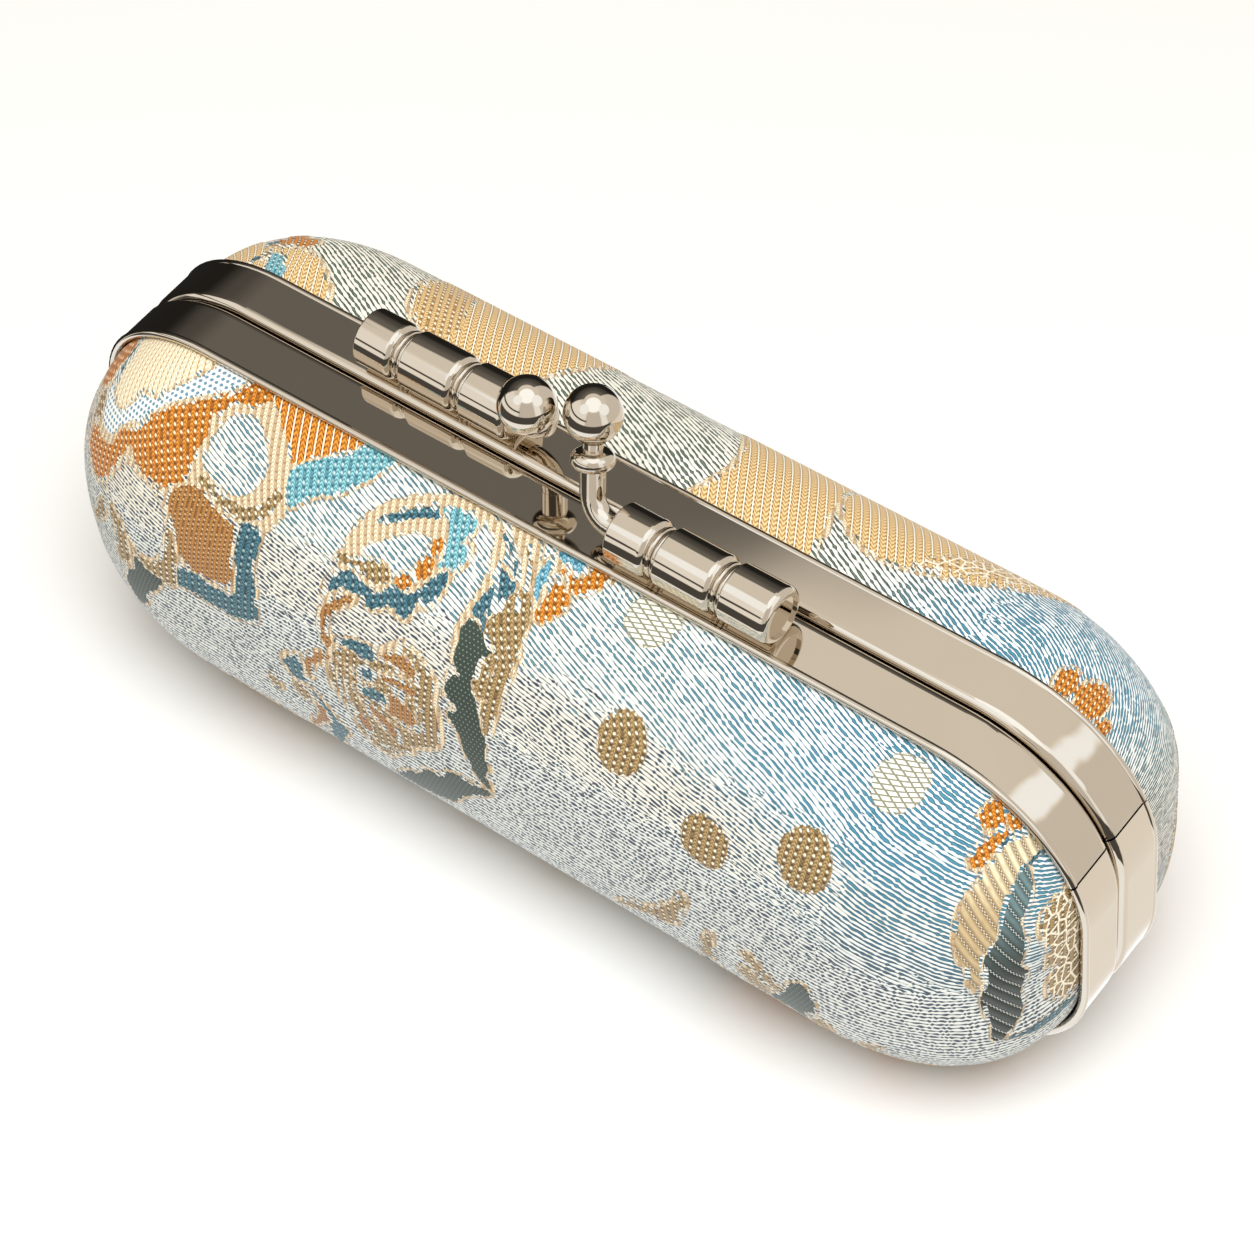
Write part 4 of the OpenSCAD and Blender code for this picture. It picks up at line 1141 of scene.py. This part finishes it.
def lie_below(floor, piece):
    """Keeps the floor under a piece that turns down below where the closed case stands."""
    group = bpy.data.node_groups.new("lie_below", "GeometryNodeTree")
    for way in ("INPUT", "OUTPUT"):
        group.interface.new_socket("Geometry", in_out=way, socket_type="NodeSocketGeometry")
    graph = Graph(group)
    seen = graph.new("GeometryNodeObjectInfo", {"Object": piece}, transform_space="RELATIVE")
    box = graph.new("GeometryNodeBoundBox", {"Geometry": seen.outputs["Geometry"]})
    offset = graph.new("ShaderNodeCombineXYZ", {"Z": graph.split(box.outputs["Min"])[2].lowest(0.0)})
    given = graph.new("NodeGroupInput").outputs[0]
    lowered = graph.new("GeometryNodeSetPosition", {"Geometry": given, "Offset": offset.outputs[0]})
    graph.new("NodeGroupOutput", {0: lowered.outputs[0]})
    floor.modifiers.new("lie_below", "NODES").node_group = group


def stage_floor():
    """Pale floor with the soft shadow of the case, which fades into the white further off."""
    corners = [(x * FLOOR_HALF, y * FLOOR_HALF, 0) for x, y in ((-1, -1), (1, -1), (1, 1), (-1, 1))]
    floor = mesh_object("floor", corners, [(0, 1, 2, 3)])
    material, graph = new_material("pale_floor")
    place = graph.new("ShaderNodeTexCoord").outputs["Object"]
    away = graph.value(graph.new("ShaderNodeVectorMath", {0: place}, operation="LENGTH"), "Value")
    colour = graph.mix(graph.cloud(3.0), (238, 236, 232), (241, 239, 235))
    graph.surface({"Base Color": colour, "Roughness": 0.9, "Specular IOR Level": 0.0,
                   "Alpha": away.ramp(FADE_END, FADE_START)})
    dress(floor, material)
    floor.visible_glossy = False
    lie_below(floor, bpy.data.objects["back_brocade"])


def aimed(name, data, place, direction):
    """Puts a lamp or camera at a place, looking along a direction."""
    made = add(name, data)
    made.location = place
    made.rotation_mode = "QUATERNION"
    made.rotation_quaternion = direction.to_track_quat("-Z", "Y")
    return made


LAMP_PLACE = Vector((0.25, -0.33, 0.93))
LAMP_AIM = Vector((0, 0, 0.03))


def overhead_lamp():
    """A lamp that shapes the cloth. The metal mirrors the room alone."""
    data = bpy.data.lights.new("overhead", "AREA")
    data.shape = "DISK"
    data.size = 0.8
    data.energy = 11.5
    data.color = (0.95, 1.0, 1.06)
    aimed("overhead", data, LAMP_PLACE, LAMP_AIM - LAMP_PLACE).visible_glossy = False


# What the metal mirrors: brightness, and where it is as turn from straight ahead and rise, in degrees
WARM, COOL = (1.0, 0.965, 0.90), (0.95, 1.02, 1.10)
CEILING, LEFT_WALL, RIGHT_WALL, RIGHT_CORNER, FRONT_WALL, FLOOR_BELOW = 0.95, 1.17, 0.85, 1.25, 0.78, 1.3
OVERHEAD, SOFT_BOX = 1.6, 1.42
FLOOR_RIGHT = 1.08
FILL = 0.5
DARK_TOP, DARK_MIDDLE, DARK_LOW, DARK_BAND = 0.19, 0.10, 0.02, 0.09


def studio_world():
    """Pale room with a dark wall behind the case, a white panel overhead and a soft box at each side."""
    world = bpy.data.worlds.new("studio")
    bpy.context.scene.world = world
    world.use_nodes = True
    graph = Graph(world.node_tree)
    x, y, z = graph.split(graph.new("ShaderNodeTexCoord").outputs["Generated"])
    away = x * -math.sin(AZIMUTH) + y * math.cos(AZIMUTH)
    across = x * math.cos(AZIMUTH) + y * math.sin(AZIMUTH)
    turn = across.math("ARCTAN2", away) * math.degrees(1)
    rise = z.math("ARCSINE") * math.degrees(1)

    def within(value, low, high, edge):
        return value.ramp(low - edge, low + edge) * value.ramp(high + edge, high - edge)

    def disc(turn_at, rise_at, radius, edge=1.5):
        flat = math.cos(math.radians(rise_at))
        ahead = away * (flat * math.cos(math.radians(turn_at)))
        aside = across * (flat * math.sin(math.radians(turn_at)))
        toward = ahead + aside + z * math.sin(math.radians(rise_at))
        return toward.ramp(math.cos(math.radians(radius + edge)), math.cos(math.radians(radius - edge)))

    def over(level, amount, new):
        return level + (new - level if isinstance(new, Value) else level.minus_from(new)) * amount

    level = z * 0.0 + CEILING
    level = over(level, turn.abs().ramp(146.0, 154.0) * rise.ramp(48.0, 40.0), FRONT_WALL)
    level = over(level, within(turn, -150.0, -68.0, 4.0) * rise.ramp(52.0, 42.0), LEFT_WALL)
    level = over(level, within(turn, 41.0, 127.0, 3.0) * rise.ramp(52.0, 42.0), RIGHT_WALL)
    level = over(level, within(turn, 128.0, 150.0, 3.0) * rise.ramp(44.0, 36.0), RIGHT_CORNER)
    dark = rise.ramp(12.0, 34.0) * (DARK_MIDDLE - DARK_LOW)
    dark = dark + rise.ramp(34.0, 53.0) * (DARK_TOP - DARK_MIDDLE) + DARK_LOW
    level = over(level, within(turn, -66.0, 41.0, 2.5) * rise.ramp(58.5, 56.0), dark)
    behind = within(turn, -66.0, 12.0, 4.0) * rise.ramp(-52.0, -44.0)
    below = within(turn, 40.0, 125.0, 10.0) * (FLOOR_RIGHT - FLOOR_BELOW) + FLOOR_BELOW
    level = over(level, rise.ramp(-10.0, -16.0) * behind.minus_from(1.0), below)
    facing = turn.ramp(-64.0, -76.0) + turn.ramp(112.0, 124.0)
    level = over(level, facing * within(rise, -38.0, -8.0, 1.5), DARK_BAND)
    level = over(level, within(turn, -155.0, -60.0, 3.0) * within(rise, 6.5, 12.5, 1.0), DARK_BAND)
    level = over(level, disc(180.0, 76.0, 29.0), OVERHEAD)
    level = over(level, disc(120.0, 42.0, 20.0), SOFT_BOX)
    level = over(level, disc(-125.0, 48.0, 18.0), SOFT_BOX)
    tint = level.ramp(1.4, 1.0)
    room = graph.new("ShaderNodeCombineXYZ")
    for slot, (warm, cool) in enumerate(zip(WARM, COOL)):
        graph.feed(room, {slot: level * (tint * (warm - cool) + cool)})
    mirrored = world.node_tree.nodes["Background"]
    graph.feed(mirrored, {"Color": room.outputs[0], "Strength": 1.0})

    # Soft warm light for what isn't polished, and the photograph's plain white behind the case
    fill = graph.new("ShaderNodeBackground", {"Color": (1.0, 0.90, 0.78, 1.0), "Strength": FILL})
    plain = graph.new("ShaderNodeBackground", {"Color": linear(254, 253, 251)})
    ray = graph.new("ShaderNodeLightPath")
    lit = graph.new("ShaderNodeMixShader", {0: ray.outputs["Is Glossy Ray"], 1: fill.outputs[0],
                                            2: mirrored.outputs[0]})
    shown = graph.new("ShaderNodeMixShader", {0: ray.outputs["Is Camera Ray"], 1: lit.outputs[0],
                                              2: plain.outputs[0]})
    graph.feed(world.node_tree.nodes["World Output"], {"Surface": shown.outputs[0]})


def photo_camera():
    data = bpy.data.cameras.new("camera")
    data.lens = LENS
    data.sensor_width = SENSOR
    data.clip_start, data.clip_end = 0.01, 20.0
    level = math.cos(ELEVATION)
    back = Vector((math.sin(AZIMUTH) * level, -math.cos(AZIMUTH) * level, math.sin(ELEVATION)))
    bpy.context.scene.camera = aimed("camera", data, AIM + back * DISTANCE, -back)


stage_floor()
overhead_lamp()
studio_world()
photo_camera()
bpy.context.scene.view_settings.view_transform = "Standard"
